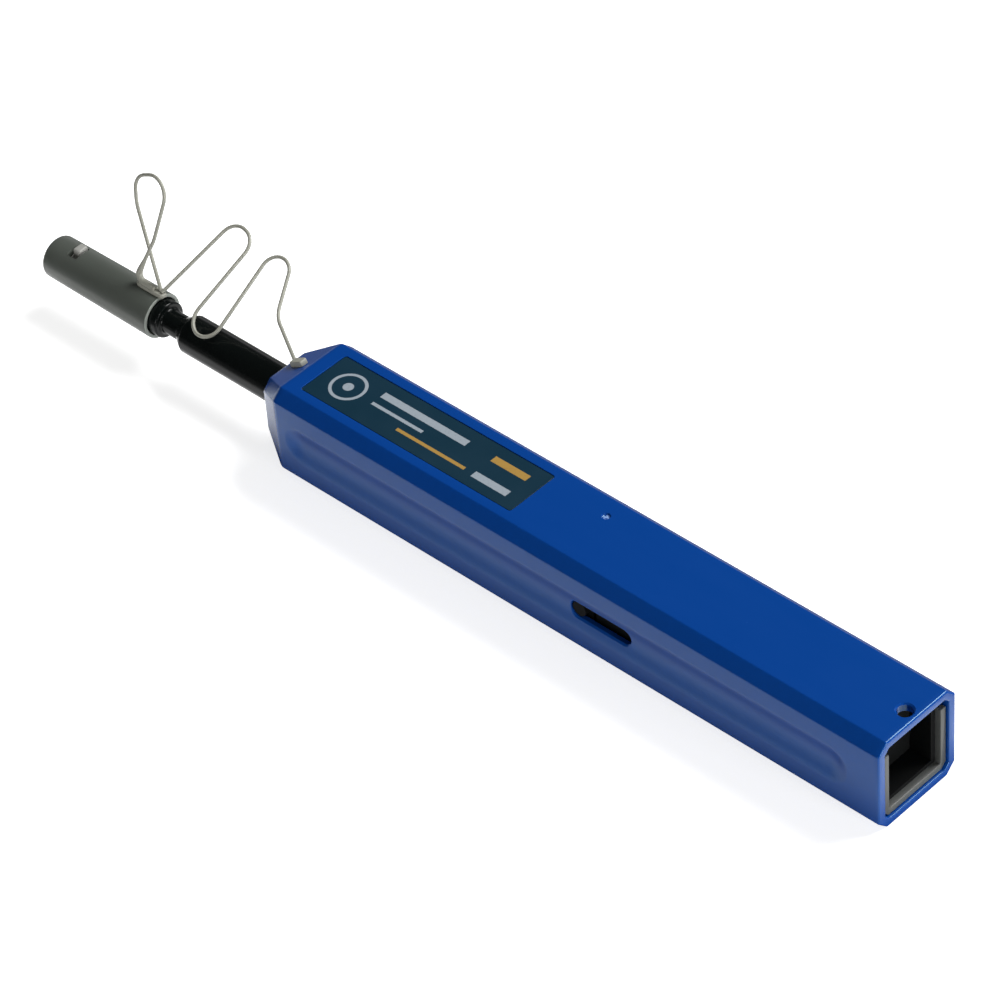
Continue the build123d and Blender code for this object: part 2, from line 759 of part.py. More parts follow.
# Reverse pawl: springy leaf on the tray's wall, whose tooth stops the ratchet turning back
catch = ceil(ratchet_teeth / 4 + 0.25) * ratchet_step
pawl_angle = catch - ratchet_flank_share * ratchet_step - radians(pawl_clearance_angle)
pawl_tip = ((ratchet_low + seat_gap) * cos(pawl_angle), (ratchet_low + seat_gap) * sin(pawl_angle))
leaf_low = reel_radius + pawl_lift
pawl_top = tray_top + pawl_block_height - axis_z
with BuildPart() as reverse_pawl:
    pawl_side = (takeup_x, reel_y + reel_flange, axis_z)
    with BuildSketch(Plane(origin=pawl_side, x_dir=(1, 0, 0), z_dir=(0, -1, 0))):
        with BuildLine():
            Polyline(
                pawl_tip,
                (pawl_tip[0] + pawl_tooth, leaf_low),
                (pawl_reach + pawl_block, leaf_low),
                (pawl_reach + pawl_block, pawl_top),
                (pawl_reach, pawl_top),
                (pawl_reach, leaf_low + pawl_leaf),
                (pawl_tip[0], leaf_low + pawl_leaf),
                close=True,
            )
        make_face()
    extrude(amount=reel_flange)
    pawl_width = tray_width / 2 + reel_y + reel_flange
    pawl_middle = (takeup_x + pawl_reach + pawl_block / 2, (pawl_width - tray_width) / 2)
    with BuildSketch(Plane.XY.offset(tray_top)):
        with Locations(pawl_middle):
            Rectangle(pawl_block, pawl_width)
    extrude(amount=pawl_block_height)

with BuildPart() as takeup_thread:
    with BuildSketch(across(takeup_x)):
        with BuildLine():
            Polyline(
                (reel_y + reel_flange, takeup_hub / 2),
                (reel_y + reel_flange, takeup_thread_radius),
                (takeup_end - reel_flange, takeup_thread_radius),
                (takeup_end - reel_flange, takeup_hub / 2),
                close=True,
            )
        make_face()
    revolve(axis=takeup_axis)

# Supply reel: a wider spool, nearly full
supply_axis = Axis((supply_x, 0, axis_z), (0, 1, 0))
with BuildPart() as supply_reel:
    with BuildSketch(across(supply_x)):
        with BuildLine():
            Polyline(
                (reel_y, reel_bore),
                (reel_y, reel_radius),
                (reel_y + reel_flange, reel_radius),
                (reel_y + reel_flange, supply_hub / 2),
                (-reel_y - reel_flange, supply_hub / 2),
                (-reel_y - reel_flange, reel_radius),
                (-reel_y, reel_radius),
                (-reel_y, reel_bore),
                close=True,
            )
        make_face()
    revolve(axis=supply_axis)

with BuildPart() as supply_thread:
    with BuildSketch(across(supply_x)):
        with BuildLine():
            Polyline(
                (reel_y + reel_flange, supply_hub / 2),
                (reel_y + reel_flange, supply_thread_radius),
                (-reel_y - reel_flange, supply_thread_radius),
                (-reel_y - reel_flange, supply_hub / 2),
                close=True,
            )
        make_face()
    revolve(axis=supply_axis)


def involute(radius, base):
    """Angle of the involute of a base circle at a radius, from where it leaves the base."""
    if radius <= base:
        return 0.0
    return sqrt((radius / base) ** 2 - 1) - acos(base / radius)


# Drive gear: involute teeth in mesh with the rack, with a space at the top
base_radius = pitch_radius * cos(radians(gear_pressure))
outer_radius = pitch_radius + addendum
root_radius = pitch_radius - dedendum
half_angle = (pi / 2 - gear_backlash / 2 / gear_module) / gear_teeth
half_angle = half_angle + involute(pitch_radius, base_radius)
flank_step = (outer_radius - base_radius) / (flank_points - 1)
flank_radii = [base_radius + flank_step * index for index in range(flank_points)]
gear_points = []
for index in range(gear_teeth):
    middle = pi / 2 + (index + 0.5) * 2 * pi / gear_teeth
    side = [(root_radius, half_angle)]
    side = side + [(r, half_angle - involute(r, base_radius)) for r in flank_radii]
    turned = [(r, middle - a) for r, a in side] + [(r, middle + a) for r, a in reversed(side)]
    gear_points = gear_points + [(r * cos(a), r * sin(a)) for r, a in turned]
gear_side = (takeup_x, gear_y + gear_width, axis_z)
with BuildPart() as drive_gear:
    with BuildSketch(Plane(origin=gear_side, x_dir=(1, 0, 0), z_dir=(0, -1, 0))):
        with BuildLine():
            Polyline(*gear_points, close=True)
        make_face()
        Circle(reel_bore, mode=Mode.SUBTRACT)
    extrude(amount=gear_width)
    with BuildSketch(Plane(origin=(takeup_x, gear_y, axis_z), x_dir=(1, 0, 0), z_dir=(0, -1, 0))):
        Circle(takeup_hub / 2)
        Circle(reel_bore, mode=Mode.SUBTRACT)
    extrude(amount=gear_side_gap - seat_gap)

# Cleaning thread: clean strand from the supply reel to the tip, used strand back
strand = thread_diameter / 2
strand_shift = 2 * strand
strand_front = shaft_end + tip_chamber_length + thread_inset
strand_rear = cover_end + thread_lead_in
feed_top = axis_z + reel_radius + strand + thread_lift
with BuildPart() as feed_thread:
    with BuildLine() as feed_path:
        FilletPolyline(
            (supply_x, 0, axis_z + supply_thread_radius + strand + shaft_gap),
            (takeup_x + reel_radius, 0, feed_top),
            (takeup_x - reel_radius, 0, feed_top),
            (strand_rear, 0, axis_z + strand_shift),
            (strand_front, 0, axis_z + strand_shift),
            radius=(thread_bend, thread_bend, thread_guide_bend),
        )
    with BuildSketch(Plane(origin=feed_path.line @ 0, z_dir=feed_path.line % 0)):
        RegularPolygon(strand, 8)
    sweep()

with BuildPart() as return_thread:
    with BuildLine() as return_path:
        FilletPolyline(
            (takeup_x, 0, axis_z - takeup_thread_radius - strand - shaft_gap),
            (strand_rear, 0, axis_z - strand_shift),
            (strand_front, 0, axis_z - strand_shift),
            radius=(thread_bend,),
        )
    with BuildSketch(Plane(origin=return_path.line @ 0, z_dir=return_path.line % 0)):
        RegularPolygon(strand, 8)
    sweep()

# Guide cap: tapered shell over the nozzle's tip, with a window for the guide's nub
cap_outline = (
    (front - cap_rim, cap_bore / 2),
    (front - cap_rim, cap_rim_diameter / 2),
    (front - cap_front, cap_front_diameter / 2),
    (front - cap_front, cap_front_bore / 2),
    (front - cap_step, cap_front_bore / 2),
    (front - cap_step, cap_bore / 2),
)
cap_slope = (cap_rim_diameter - cap_front_diameter) / 2 / (cap_front - cap_rim)
window_radius = cap_rim_diameter / 2 - cap_slope * (cap_window_setback - cap_rim)
with BuildPart() as guide_cap:
    with BuildSketch(axis_plane):
        with BuildLine():
            Polyline(*cap_outline, close=True)
        make_face()
    revolve(axis=nozzle_axis)
    end_edges = guide_cap.edges().filter_by(GeomType.CIRCLE).group_by(lambda e: e.radius)
    chamfer(end_edges[-1], cap_rim_bevel)
    chamfer(end_edges[-2], cap_front_bevel)
    window_x = front - cap_window_setback + cap_window_length / 2
    with BuildSketch(Plane.XY.offset(axis_z)):
        with Locations((window_x, 0)):
            Rectangle(cap_window_length, cap_window_width)
    extrude(amount=cap_rim_diameter, mode=Mode.SUBTRACT)

# Ferrule guide: pale sleeve in the cap's front end, held by a nub in the window
with BuildPart() as ferrule_guide:
    with BuildSketch(axis_plane):
        with BuildLine():
            Polyline(
                (front - guide_rear, guide_counterbore / 2),
                (front - guide_rear, cap_front_bore / 2 - press_gap),
                (front - guide_front, cap_front_bore / 2 - press_gap),
                (front - guide_front, guide_bore / 2),
                (front - guide_front + guide_land, guide_bore / 2),
                (front - guide_front + guide_land, guide_counterbore / 2),
                close=True,
            )
        make_face()
    revolve(axis=nozzle_axis)
    nub_base = cap_front_bore / 2 - nub_root
    nub_top = window_radius + nub_height
    with BuildSketch(Plane.XY.offset(axis_z + nub_base)):
        with Locations((window_x, nub_offset)):
            Rectangle(nub_length, nub_width)
    extrude(amount=nub_top - nub_base)
    chamfer(ferrule_guide.edges().group_by(Axis.Z)[-1], nub_bevel)

# Tether: one moulded strap, plugged on the nose and footed on the cap, with a finger loop
nose_slope = (section - nose_size) / 2 / nose_length
nose_tilt = degrees(atan2(nose_slope, 1))
anchor_x = front - anchor_setback - anchor_length / 2
anchor_z = section - nose_slope * (front - anchor_x)
strand_inset = anchor_length / 4
strand_root = (anchor_x - strand_inset, 0, anchor_z - nose_slope * strand_inset + anchor_height / 2)
strap_points = [strap_point(ahead, w) for ahead, w, bend in strap_corners]
loop_points = [loop_point(ahead, w, side * loop_spread) for ahead, w, side, bend in loop_corners]
loop_ends = (loop_point(loop_start, 0, 0), loop_point(loop_end, 0, -loop_spread / 2))
strands = (
    ([strand_root, *strap_points, loop_point(strap_end, 0, 0)], [c[-1] for c in strap_corners]),
    ([loop_ends[0], *loop_points, loop_ends[1]], [c[-1] for c in loop_corners]),
)
with BuildPart() as tether:
    for points, bends in strands:
        with BuildLine() as strap:
            FilletPolyline(*points, radius=bends)
        with BuildSketch(Plane(origin=strap.line @ 0, z_dir=strap.line % 0)):
            RegularPolygon(tether_diameter / 2, 6)
        sweep()
    with Locations(Location((anchor_x, 0, anchor_z), (0, -nose_tilt, 0))):
        Box(anchor_length, anchor_width, anchor_height, align=(Align.CENTER, Align.CENTER, Align.MIN))
    foot_end = front - cap_rim + foot_overhang
    with BuildSketch(across(foot_end - foot_length)):
        with Locations((loop_offset, cap_rim_diameter / 2)):
            Rectangle(foot_width, 2 * foot_height)
    extrude(amount=foot_length)
    with BuildSketch(axis_plane):
        with BuildLine():
            Polyline(
                (foot_end, 0),
                (foot_end, cap_rim_diameter / 2),
                (front - cap_rim, cap_rim_diameter / 2),
                (front - cap_front, cap_front_diameter / 2),
                (front - cap_front, 0),
                close=True,
            )
        make_face()
    revolve(axis=nozzle_axis, mode=Mode.SUBTRACT)

# Each piece is named and written to a file of its own
os.makedirs("parts", exist_ok=True)
outer_housing.part.label = "outer_housing"
export_step(outer_housing.part, "parts/outer_housing.step")
label_plate.part.label = "label_plate"
export_step(label_plate.part, "parts/label_plate.step")
drive_rack.part.label = "drive_rack"
export_step(drive_rack.part, "parts/drive_rack.step")
cam_pin.part.label = "cam_pin"
export_step(cam_pin.part, "parts/cam_pin.step")
chassis_tray.part.label = "chassis_tray"
export_step(chassis_tray.part, "parts/chassis_tray.step")
rear_frame.part.label = "rear_frame"
export_step(rear_frame.part, "parts/rear_frame.step")
chassis_cover.part.label = "chassis_cover"
export_step(chassis_cover.part, "parts/chassis_cover.step")
nozzle_tube.part.label = "nozzle_tube"
export_step(nozzle_tube.part, "parts/nozzle_tube.step")
tip_sleeve.part.label = "tip_sleeve"
export_step(tip_sleeve.part, "parts/tip_sleeve.step")
cam_barrel.part.label = "cam_barrel"
export_step(cam_barrel.part, "parts/cam_barrel.step")
tip_shaft.part.label = "tip_shaft"
export_step(tip_shaft.part, "parts/tip_shaft.step")
cleaning_tip.part.label = "cleaning_tip"
export_step(cleaning_tip.part, "parts/cleaning_tip.step")
return_spring.part.label = "return_spring"
export_step(return_spring.part, "parts/return_spring.step")
tip_spring.part.label = "tip_spring"
export_step(tip_spring.part, "parts/tip_spring.step")
takeup_pin.part.label = "takeup_pin"
export_step(takeup_pin.part, "parts/takeup_pin.step")
supply_pin.part.label = "supply_pin"
export_step(supply_pin.part, "parts/supply_pin.step")
takeup_reel.part.label = "takeup_reel"
export_step(takeup_reel.part, "parts/takeup_reel.step")
reverse_pawl.part.label = "reverse_pawl"
export_step(reverse_pawl.part, "parts/reverse_pawl.step")
takeup_thread.part.label = "takeup_thread"
export_step(takeup_thread.part, "parts/takeup_thread.step")
supply_reel.part.label = "supply_reel"
export_step(supply_reel.part, "parts/supply_reel.step")
supply_thread.part.label = "supply_thread"
export_step(supply_thread.part, "parts/supply_thread.step")
drive_gear.part.label = "drive_gear"
export_step(drive_gear.part, "parts/drive_gear.step")
feed_thread.part.label = "feed_thread"
export_step(feed_thread.part, "parts/feed_thread.step")
return_thread.part.label = "return_thread"
export_step(return_thread.part, "parts/return_thread.step")
guide_cap.part.label = "guide_cap"
export_step(guide_cap.part, "parts/guide_cap.step")
ferrule_guide.part.label = "ferrule_guide"
export_step(ferrule_guide.part, "parts/ferrule_guide.step")
tether.part.label = "tether"
export_step(tether.part, "parts/tether.step")
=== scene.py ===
import json
import math

import bpy
import numpy as np
from bpy.props import FloatProperty, FloatVectorProperty, PointerProperty
from bpy.types import Operator, Panel, PropertyGroup
from mathutils import Matrix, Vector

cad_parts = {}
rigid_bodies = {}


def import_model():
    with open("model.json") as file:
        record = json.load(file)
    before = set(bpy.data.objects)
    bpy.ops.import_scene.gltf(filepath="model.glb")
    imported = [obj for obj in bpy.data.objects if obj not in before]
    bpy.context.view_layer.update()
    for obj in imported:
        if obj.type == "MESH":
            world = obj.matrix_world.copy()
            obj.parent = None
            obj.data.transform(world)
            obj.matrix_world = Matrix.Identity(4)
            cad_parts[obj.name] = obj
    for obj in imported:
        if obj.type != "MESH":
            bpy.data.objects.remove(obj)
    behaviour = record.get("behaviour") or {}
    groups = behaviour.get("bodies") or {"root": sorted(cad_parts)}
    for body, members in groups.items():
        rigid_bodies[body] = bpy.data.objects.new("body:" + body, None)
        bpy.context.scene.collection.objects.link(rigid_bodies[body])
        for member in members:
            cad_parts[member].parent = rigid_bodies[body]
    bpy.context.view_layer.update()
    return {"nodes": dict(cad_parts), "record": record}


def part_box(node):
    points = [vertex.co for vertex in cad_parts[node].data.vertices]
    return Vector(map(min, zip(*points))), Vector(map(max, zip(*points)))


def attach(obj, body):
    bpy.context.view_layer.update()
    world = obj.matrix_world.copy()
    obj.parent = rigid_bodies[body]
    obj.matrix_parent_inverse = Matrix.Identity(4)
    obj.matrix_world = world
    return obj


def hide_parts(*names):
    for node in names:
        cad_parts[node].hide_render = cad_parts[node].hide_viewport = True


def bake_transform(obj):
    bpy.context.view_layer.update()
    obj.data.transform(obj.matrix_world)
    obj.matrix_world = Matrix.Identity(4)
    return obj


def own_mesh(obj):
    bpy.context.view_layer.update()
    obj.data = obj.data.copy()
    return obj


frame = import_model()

bl_info = {
    "name": "Fibre connector cleaner",
    "version": (1, 0, 0),
    "blender": (4, 5, 0),
    "location": "3D View > Sidebar > Cleaner",
    "description": "Dresses the packed frame of a push-to-click cleaner for fibre connectors",
    "category": "Object",
}

MM = 0.001


def mm(*values):
    """Lengths in millimetres as an array in metres."""
    return np.array(values) * MM


# Places taken from the frame, in metres
HOUSING_LOW, HOUSING_HIGH = np.array(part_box("outer_housing"))
TUBE_LOW, TUBE_HIGH = np.array(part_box("nozzle_tube"))
SLEEVE_LOW, SLEEVE_HIGH = np.array(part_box("tip_sleeve"))
CAP_LOW, CAP_HIGH = np.array(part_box("guide_cap"))
GUIDE_LOW, GUIDE_HIGH = np.array(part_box("ferrule_guide"))
LABEL_LOW, LABEL_HIGH = np.array(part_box("label_plate"))
SPRING_LOW, SPRING_HIGH = np.array(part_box("return_spring"))
TIP_SPRING_LOW, TIP_SPRING_HIGH = np.array(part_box("tip_spring"))
SECTION = HOUSING_HIGH[2] - HOUSING_LOW[2]
AXIS_Z = SECTION / 2
REAR = HOUSING_HIGH[0]

# The moulding gate's mark: how far behind the front shoulder and how far aside
GATE_X, GATE_Y = 65.6 * MM, 3.65 * MM
# Length of the tapered nose, and the planes of the tether: their tilt in degrees, the strap's height above
# the floor, and how far the loop starts aside of and above the cap's top, in millimetres
NOSE_LENGTH = 6.6
STRAP_TILT, STRAP_HEIGHT = 30.0, 15.2
LOOP_TILT, LOOP_ASIDE, LOOP_HEIGHT = 70.0, 0.55, 0.75
# Corners of the strap on its plane: place from the front shoulder, way up the slope and bend radius, in
# millimetres
ROUTE = ((-14.4, 6.7, 5.8), (-17.9, 15.2, 3.1), (-23.3, 18.3, 2.8), (-23.1, -5.4, 2.9), (-29.7, -1.4, 3.9),
         (-27.7, 16.6, 3.4), (-34.0, 18.0, 3.1))
# Corners of the finger loop: as above, with the shift aside before the bend radius
LOOP = ((-40.5, -0.1, 0, 0), (-45.4, 0, 0, 1.5), (-42.1, 9.0, 0.55, 8.0), (-40.5, 22.6, 0.55, 3.4),
        (-49.6, 18.5, 0, 3.4), (-48.7, 13.4, -0.55, 6.0), (-39.2, 0, -0.275, 0))
# Where the back part of the strap ends, on the loop's plane
STRAP_END = -38.8
# A closed square, and the order of axes that stacks an outline in the XY plane upwards
SQUARE = np.array([[1, -1], [1, 1], [-1, 1], [-1, -1]])
UPWARDS = [0, 1, 2]


def millimetres(name, value):
    """Property of a length, with its default given in millimetres."""
    return FloatProperty(name=name, default=value * MM, unit="LENGTH")


def paint(name, value):
    """Property of a colour, as three linear values."""
    return FloatVectorProperty(name=name, subtype="COLOR", size=3, default=value)


def amount(name, value, unit="NONE"):
    """Property of a number that isn't negative."""
    return FloatProperty(name=name, default=value, min=0.0, unit=unit)


class CleanerSizes(PropertyGroup):
    """Sizes of the visible pieces that the frame's boxes don't give."""

    nose_length: millimetres("Length of the tapered nose", NOSE_LENGTH)
    nose_size: millimetres("Square section at the nose's front face", 11.8)
    nose_corner: millimetres("Bevel of the nose's corners", 1.8)
    corner: millimetres("Bevel of the housing's corners", 2.0)
    wall: millimetres("Wall of the housing", 1.6)
    edge: millimetres("Rounding along the housing's edges", 0.35)
    tube_bore: millimetres("Radius of the hole in the nose", 3.85)
    groove_height: millimetres("Height of the finger groove", 8.1)
    groove_depth: millimetres("Depth of the finger groove", 0.7)
    groove_front: millimetres("Flat ahead of the groove", 1.8)
    groove_rear: millimetres("Flat behind the groove", 6.4)
    slot_centre: millimetres("Middle of the slot behind the front shoulder", 75.1)
    slot_length: millimetres("Length of the slot in each side", 13.4)
    slot_height: millimetres("Height of the slot in each side", 3.15)
    hole_radius: millimetres("Radius of the lanyard hole", 1.4)
    hole_setback: millimetres("Lanyard hole's distance from the rear edge", 2.5)
    gate_radius: millimetres("Radius of the moulding gate's mark", 0.8)
    strap_radius: millimetres("Radius of the tether's strap", 0.34)


class CleanerColours(PropertyGroup):
    """Colours of the pieces."""

    housing: paint("Blue of the housing", (0.0018, 0.050, 0.275))
    # Pale blue painted into the gate's mark: a painted highlight.
    gate: paint("Painted highlight in the gate's mark", (0.30, 0.46, 0.80))
    label: paint("Ground of the label", (0.0045, 0.0290, 0.0520))
    print_pale: paint("Pale marks on the label", (0.33, 0.38, 0.43))
    print_amber: paint("Amber marks on the label", (0.42, 0.25, 0.06))
    nozzle: paint("Black of the nozzle", (0.0035, 0.0050, 0.0048))
    cap: paint("Grey of the guide cap", (0.091, 0.102, 0.089))
    guide: paint("Ferrule guide", (0.37, 0.37, 0.345))
    tether: paint("Grey of the tether", (0.34, 0.34, 0.29))
    chassis: paint("Grey of the chassis", (0.074, 0.078, 0.073))
    # Near-black tray: painted shade for the dark inside of the housing.
    tray_shade: paint("Near-black of the inner tray, painted shade", (0.0060, 0.0065, 0.0065))
    acetal: paint("White of the inner mouldings", (0.72, 0.71, 0.67))
    thread: paint("White of the cleaning thread", (0.80, 0.80, 0.77))
    steel: paint("Steel of pins and springs", (0.52, 0.52, 0.53))


class CleanerStage(PropertyGroup):
    """Light and camera of the stage."""

    key: amount("Large lamp above, on the far side", 24.0, "POWER")
    fill: amount("Soft lamp low on the near side", 5.5, "POWER")
    rear: amount("Soft lamp low behind the rear end", 15.0, "POWER")
    sky: amount("Strength of the even light from all round", 0.14)
    glow: amount("Strength of the floor's own white, as the camera sees it", 0.75)
    # Glow that the floor shows only in reflections: painted light.
    mirror_glow: amount("Strength of the white light painted on the floor for reflections", 0.65)
    lens: amount("Focal length in millimetres on a 36 mm wide sensor", 166.36)


# Surfaces worked out as whole arrays


def unit(vectors):
    """Vectors divided by their lengths."""
    return vectors / np.linalg.norm(vectors, axis=-1, keepdims=True)


def arc(u, v, share, sweep):
    """Points between two arms of equal length, turned evenly from the first to the second through the
    sweep."""
    return (np.sin((1 - share) * sweep) * u + np.sin(share * sweep) * v) / np.sin(sweep)


def rounded(points, radii, steps, closed=True):
    """Polygon with round corners. Each corner becomes an arc that touches both of its runs: its centre lies
    on the corner's bisector at radius / sin(half angle), and the arc turns evenly from one touching point to
    the other."""
    p = np.asarray(points, float)
    r = np.asarray(radii, float)[:, None]
    before, after = np.roll(p, 1, 0), np.roll(p, -1, 0)
    if not closed:
        ends = p[[0, -1]]
        before, after, p = before[1:-1], after[1:-1], p[1:-1]
    a, b = unit(before - p), unit(after - p)
    half = np.arccos(np.clip((a * b).sum(1, keepdims=True), -1, 1)) / 2
    centre = p + unit(a + b) * r / np.sin(half)
    u = p + a * r / np.tan(half) - centre
    v = p + b * r / np.tan(half) - centre
    share = np.linspace(0, 1, steps)[None, :, None]
    arcs = arc(u[:, None], v[:, None], share, (np.pi - 2 * half)[:, None, :])
    line = (centre[:, None] + arcs).reshape(-1, p.shape[1])
    return line if closed else np.vstack([ends[:1], line, ends[1:]])


def refined(line, spacing, closed=False):
    """Polyline with points added so that no run is longer than spacing; each run is cut into equal parts."""
    p = np.vstack([line, line[:1]]) if closed else np.asarray(line)
    runs = np.linalg.norm(np.diff(p, axis=0), axis=1)
    counts = np.maximum(1, np.ceil(runs / spacing)).astype(int)
    last = [] if closed else [len(runs)]
    at = np.concatenate([k + np.arange(n) / n for k, n in enumerate(counts)] + [last])
    low = np.minimum(at.astype(int), len(runs) - 1)
    part = (at - low)[:, None]
    return p[low] * (1 - part) + p[low + 1] * part


def grid_faces(rows, columns, wrap_rows, wrap_columns):
    """Four-sided faces of a grid of points, row by row, closed on itself along either direction."""
    i = np.arange(rows if wrap_rows else rows - 1)[:, None]
    j = np.arange(columns if wrap_columns else columns - 1)[None, :]
    i2, j2 = (i + 1) % rows, (j + 1) % columns
    corners = [i * columns + j, i * columns + j2, i2 * columns + j2, i2 * columns + j]
    return np.stack(np.broadcast_arrays(*corners), -1).reshape(-1, 4)


def capped(grid):
    """Closed surface of a grid of points whose rows are rings, with a flat rim over the first and the last
    ring."""
    rows, columns = grid.shape[:2]
    rims = [list(range(columns))[::-1], list(range((rows - 1) * columns, rows * columns))]
    return grid.reshape(-1, 3), grid_faces(rows, columns, False, True), rims


def mesh_of(name, parts):
    """Mesh of several closed (points, four-sided faces, rims) surfaces. A rim is a list of point numbers
    that closes an end. Each surface faces outwards: the volume that its faces enclose, a sum of a . (b x c)
    / 6, is positive."""
    mesh = bpy.data.meshes.new(name)
    points, faces, start = [], [], 0
    for vertices, quads, rims in parts:
        origin = vertices.mean(0)
        a, b, c, d = (vertices[quads[:, k]] - origin for k in range(4))
        volume = (a * np.cross(b, c)).sum() + (a * np.cross(c, d)).sum()
        for rim in rims:
            loop = vertices[rim] - origin
            volume += (loop[0] * np.cross(loop[1:-1], loop[2:])).sum()
        turn = -1 if volume < 0 else 1
        points.append(vertices)
        faces += (quads[:, ::turn] + start).tolist() + [[n + start for n in rim[::turn]] for rim in rims]
        start += len(vertices)
    mesh.from_pydata(np.vstack(points).tolist(), [], faces)
    mesh.validate()
    return mesh


def linked(name, data):
    """New object of some data, linked to the scene."""
    obj = bpy.data.objects.new(name, data)
    bpy.context.scene.collection.objects.link(obj)
    return obj


def piece(name, mesh, crease=35.0):
    """Object of a mesh at the origin, smooth but for edges sharper than the crease angle in degrees."""
    for old in [o for o in bpy.data.objects if o.name == name]:
        bpy.data.objects.remove(old, do_unlink=True)
    obj = linked(name, mesh)
    mesh.polygons.foreach_set("use_smooth", np.ones(len(mesh.polygons), bool))
    mesh.set_sharp_from_angle(angle=math.radians(crease))
    mesh.update()
    return obj


def full_turn(steps):
    """Angles of a full turn in equal steps."""
    return np.linspace(0, 2 * np.pi, steps, endpoint=False)


def lathe(profile, segments):
    """Profile of (x, radius) points turned about the nozzle axis. The profile is a closed line that meets
    itself."""
    turn = full_turn(segments)
    x = np.repeat(profile[:, :1], segments, 1)
    y = profile[:, 1:] * np.cos(turn)
    z = profile[:, 1:] * np.sin(turn) + AXIS_Z
    return np.stack([x, y, z], -1).reshape(-1, 3), grid_faces(len(profile), segments, True, True), []


def stacked(outline, levels, offsets, axes, place):
    """Closed prism around a place: an outline of a plane, grown by an offset at each level across the plane.
    The outline's growth is along its own outward normals, which are its tangents turned a quarter turn."""
    tangent = unit(np.roll(outline, -1, 0) - np.roll(outline, 1, 0))
    normal = np.stack([tangent[:, 1], -tangent[:, 0]], 1)
    flat = outline[None] + normal[None] * np.asarray(offsets)[:, None, None]
    level = np.broadcast_to(np.asarray(levels)[:, None, None], flat.shape[:2] + (1,))
    return capped(np.concatenate([flat, level], -1)[..., axes] + place)


def swept(path, radius, across, up, sides):
    """Round section carried along a path on two axes that are given for each point."""
    turn = full_turn(sides)[None, :, None]
    size = np.broadcast_to(np.asarray(radius, float), (len(path),))[:, None, None]
    return capped(path[:, None] + size * (np.cos(turn) * across[:, None] + np.sin(turn) * up[:, None]))


def tube(path, radius, sides=20):
    """Round section carried along a path. The section's axes are the path's tangent turned against one fixed
    normal, the direction in which the path spreads least, so the section doesn't twist."""
    tangent = unit(np.gradient(path, axis=0))
    fixed = np.linalg.svd(path - path.mean(0))[2][2]
    across = unit(np.cross(tangent, fixed))
    return swept(path, radius, across, np.cross(across, tangent), sides)


def coil(start, end, mean_radius, wire, turns, sides=10, per_turn=40):
    """Round wire wound about the nozzle axis. Its pitch closes to the wire's own width in the first and last
    turn."""
    t = np.linspace(0, turns, int(turns * per_turn) + 1)
    free = np.clip(t, 1, turns - 1) - 1
    pitch = (end - start - 3 * wire) / (turns - 2)
    x = start + wire / 2 + np.minimum(t, 1) * wire + free * pitch + np.maximum(t - turns + 1, 0) * wire
    angle = 2 * np.pi * t
    path = np.stack([x, mean_radius * np.cos(angle), AXIS_Z + mean_radius * np.sin(angle)], 1)
    radial = np.stack([np.zeros_like(t), np.cos(angle), np.sin(angle)], 1)
    tangent = unit(np.gradient(path, axis=0))
    return swept(path, wire / 2, radial, np.cross(tangent, radial), sides)


def pad(centre, size, power, turn=0.0, rows=24, columns=48):
    """Rounded block: a superellipsoid, whose sines and cosines are raised to 2 / power, turned about the Y
    direction. Its first and last rows stop just short of the poles and are closed by flat rims."""
    short = 0.01
    v = np.linspace(-1, 1, rows)[:, None] * (np.pi / 2 - short)
    u = full_turn(columns)[None, :]

    def bent(value):
        return np.sign(value) * np.abs(value) ** (2 / power)

    ring, x, y, z = bent(np.cos(v)), bent(np.cos(u)), bent(np.sin(u)), bent(np.sin(v))
    x, y, z = np.broadcast_arrays(ring * x, ring * y, z)
    x, y, z = x * size[0] / 2, y * size[1] / 2, z * size[2] / 2
    across = x * math.cos(turn) + z * math.sin(turn)
    up = z * math.cos(turn) - x * math.sin(turn)
    return capped(np.stack([across, y, up], -1) + centre)


# Materials


class Graph:
    """Node tree with short calls for the nodes that the looks are made of. Each input is set, or linked to a
    socket, and is named by its label, or by i and its number where several share a label."""

    def __init__(self, tree):
        self.tree = tree
        tree.nodes.clear()

    def feed(self, node, **inputs):
        for key, value in inputs.items():
            numbered = key[0] == "i" and key[1:].isdigit()
            socket = node.inputs[int(key[1:]) if numbered else key.replace("_", " ")]
            if isinstance(value, bpy.types.NodeSocket):
                self.tree.links.new(value, socket)
            else:
                socket.default_value = value
        return node

    def add(self, kind, settings=(), **inputs):
        node = self.tree.nodes.new("ShaderNode" + kind)
        for key, value in dict(settings).items():
            setattr(node, key, value)
        return self.feed(node, **inputs)

    def place(self):
        return self.add("TexCoord").outputs["Object"]

    def noise(self, place, scale, detail, roughness=0.5):
        node = self.add("TexNoise", Vector=place, Scale=scale, Detail=detail, Roughness=roughness)
        return node.outputs["Fac"]

    def mix(self, share, first, second):
        return self.add("Mix", {"data_type": "RGBA"}, i0=share, i6=first, i7=second).outputs[2]

    def ramp(self, value, low, high, first=0.0, last=1.0):
        node = self.add("MapRange", Value=value, From_Min=low, From_Max=high, To_Min=first, To_Max=last)
        return node.outputs["Result"]

    def math(self, operation, a, b=0.0):
        return self.add("Math", {"operation": operation}, i0=a, i1=b).outputs[0]

    def times(self, a, b):
        return self.math("MULTIPLY", a, b)

    def most(self, a, b):
        return self.math("MAXIMUM", a, b)

    def bump(self, height, strength, distance):
        return self.add("Bump", Height=height, Strength=strength, Distance=distance).outputs["Normal"]


def node_material(name):
    """New material, its graph and its shader."""
    material = bpy.data.materials.get(name) or bpy.data.materials.new(name)
    material.use_nodes = True
    graph = Graph(material.node_tree)
    shader = graph.add("BsdfPrincipled")
    graph.add("OutputMaterial", Surface=shader.outputs["BSDF"])
    return material, graph, shader


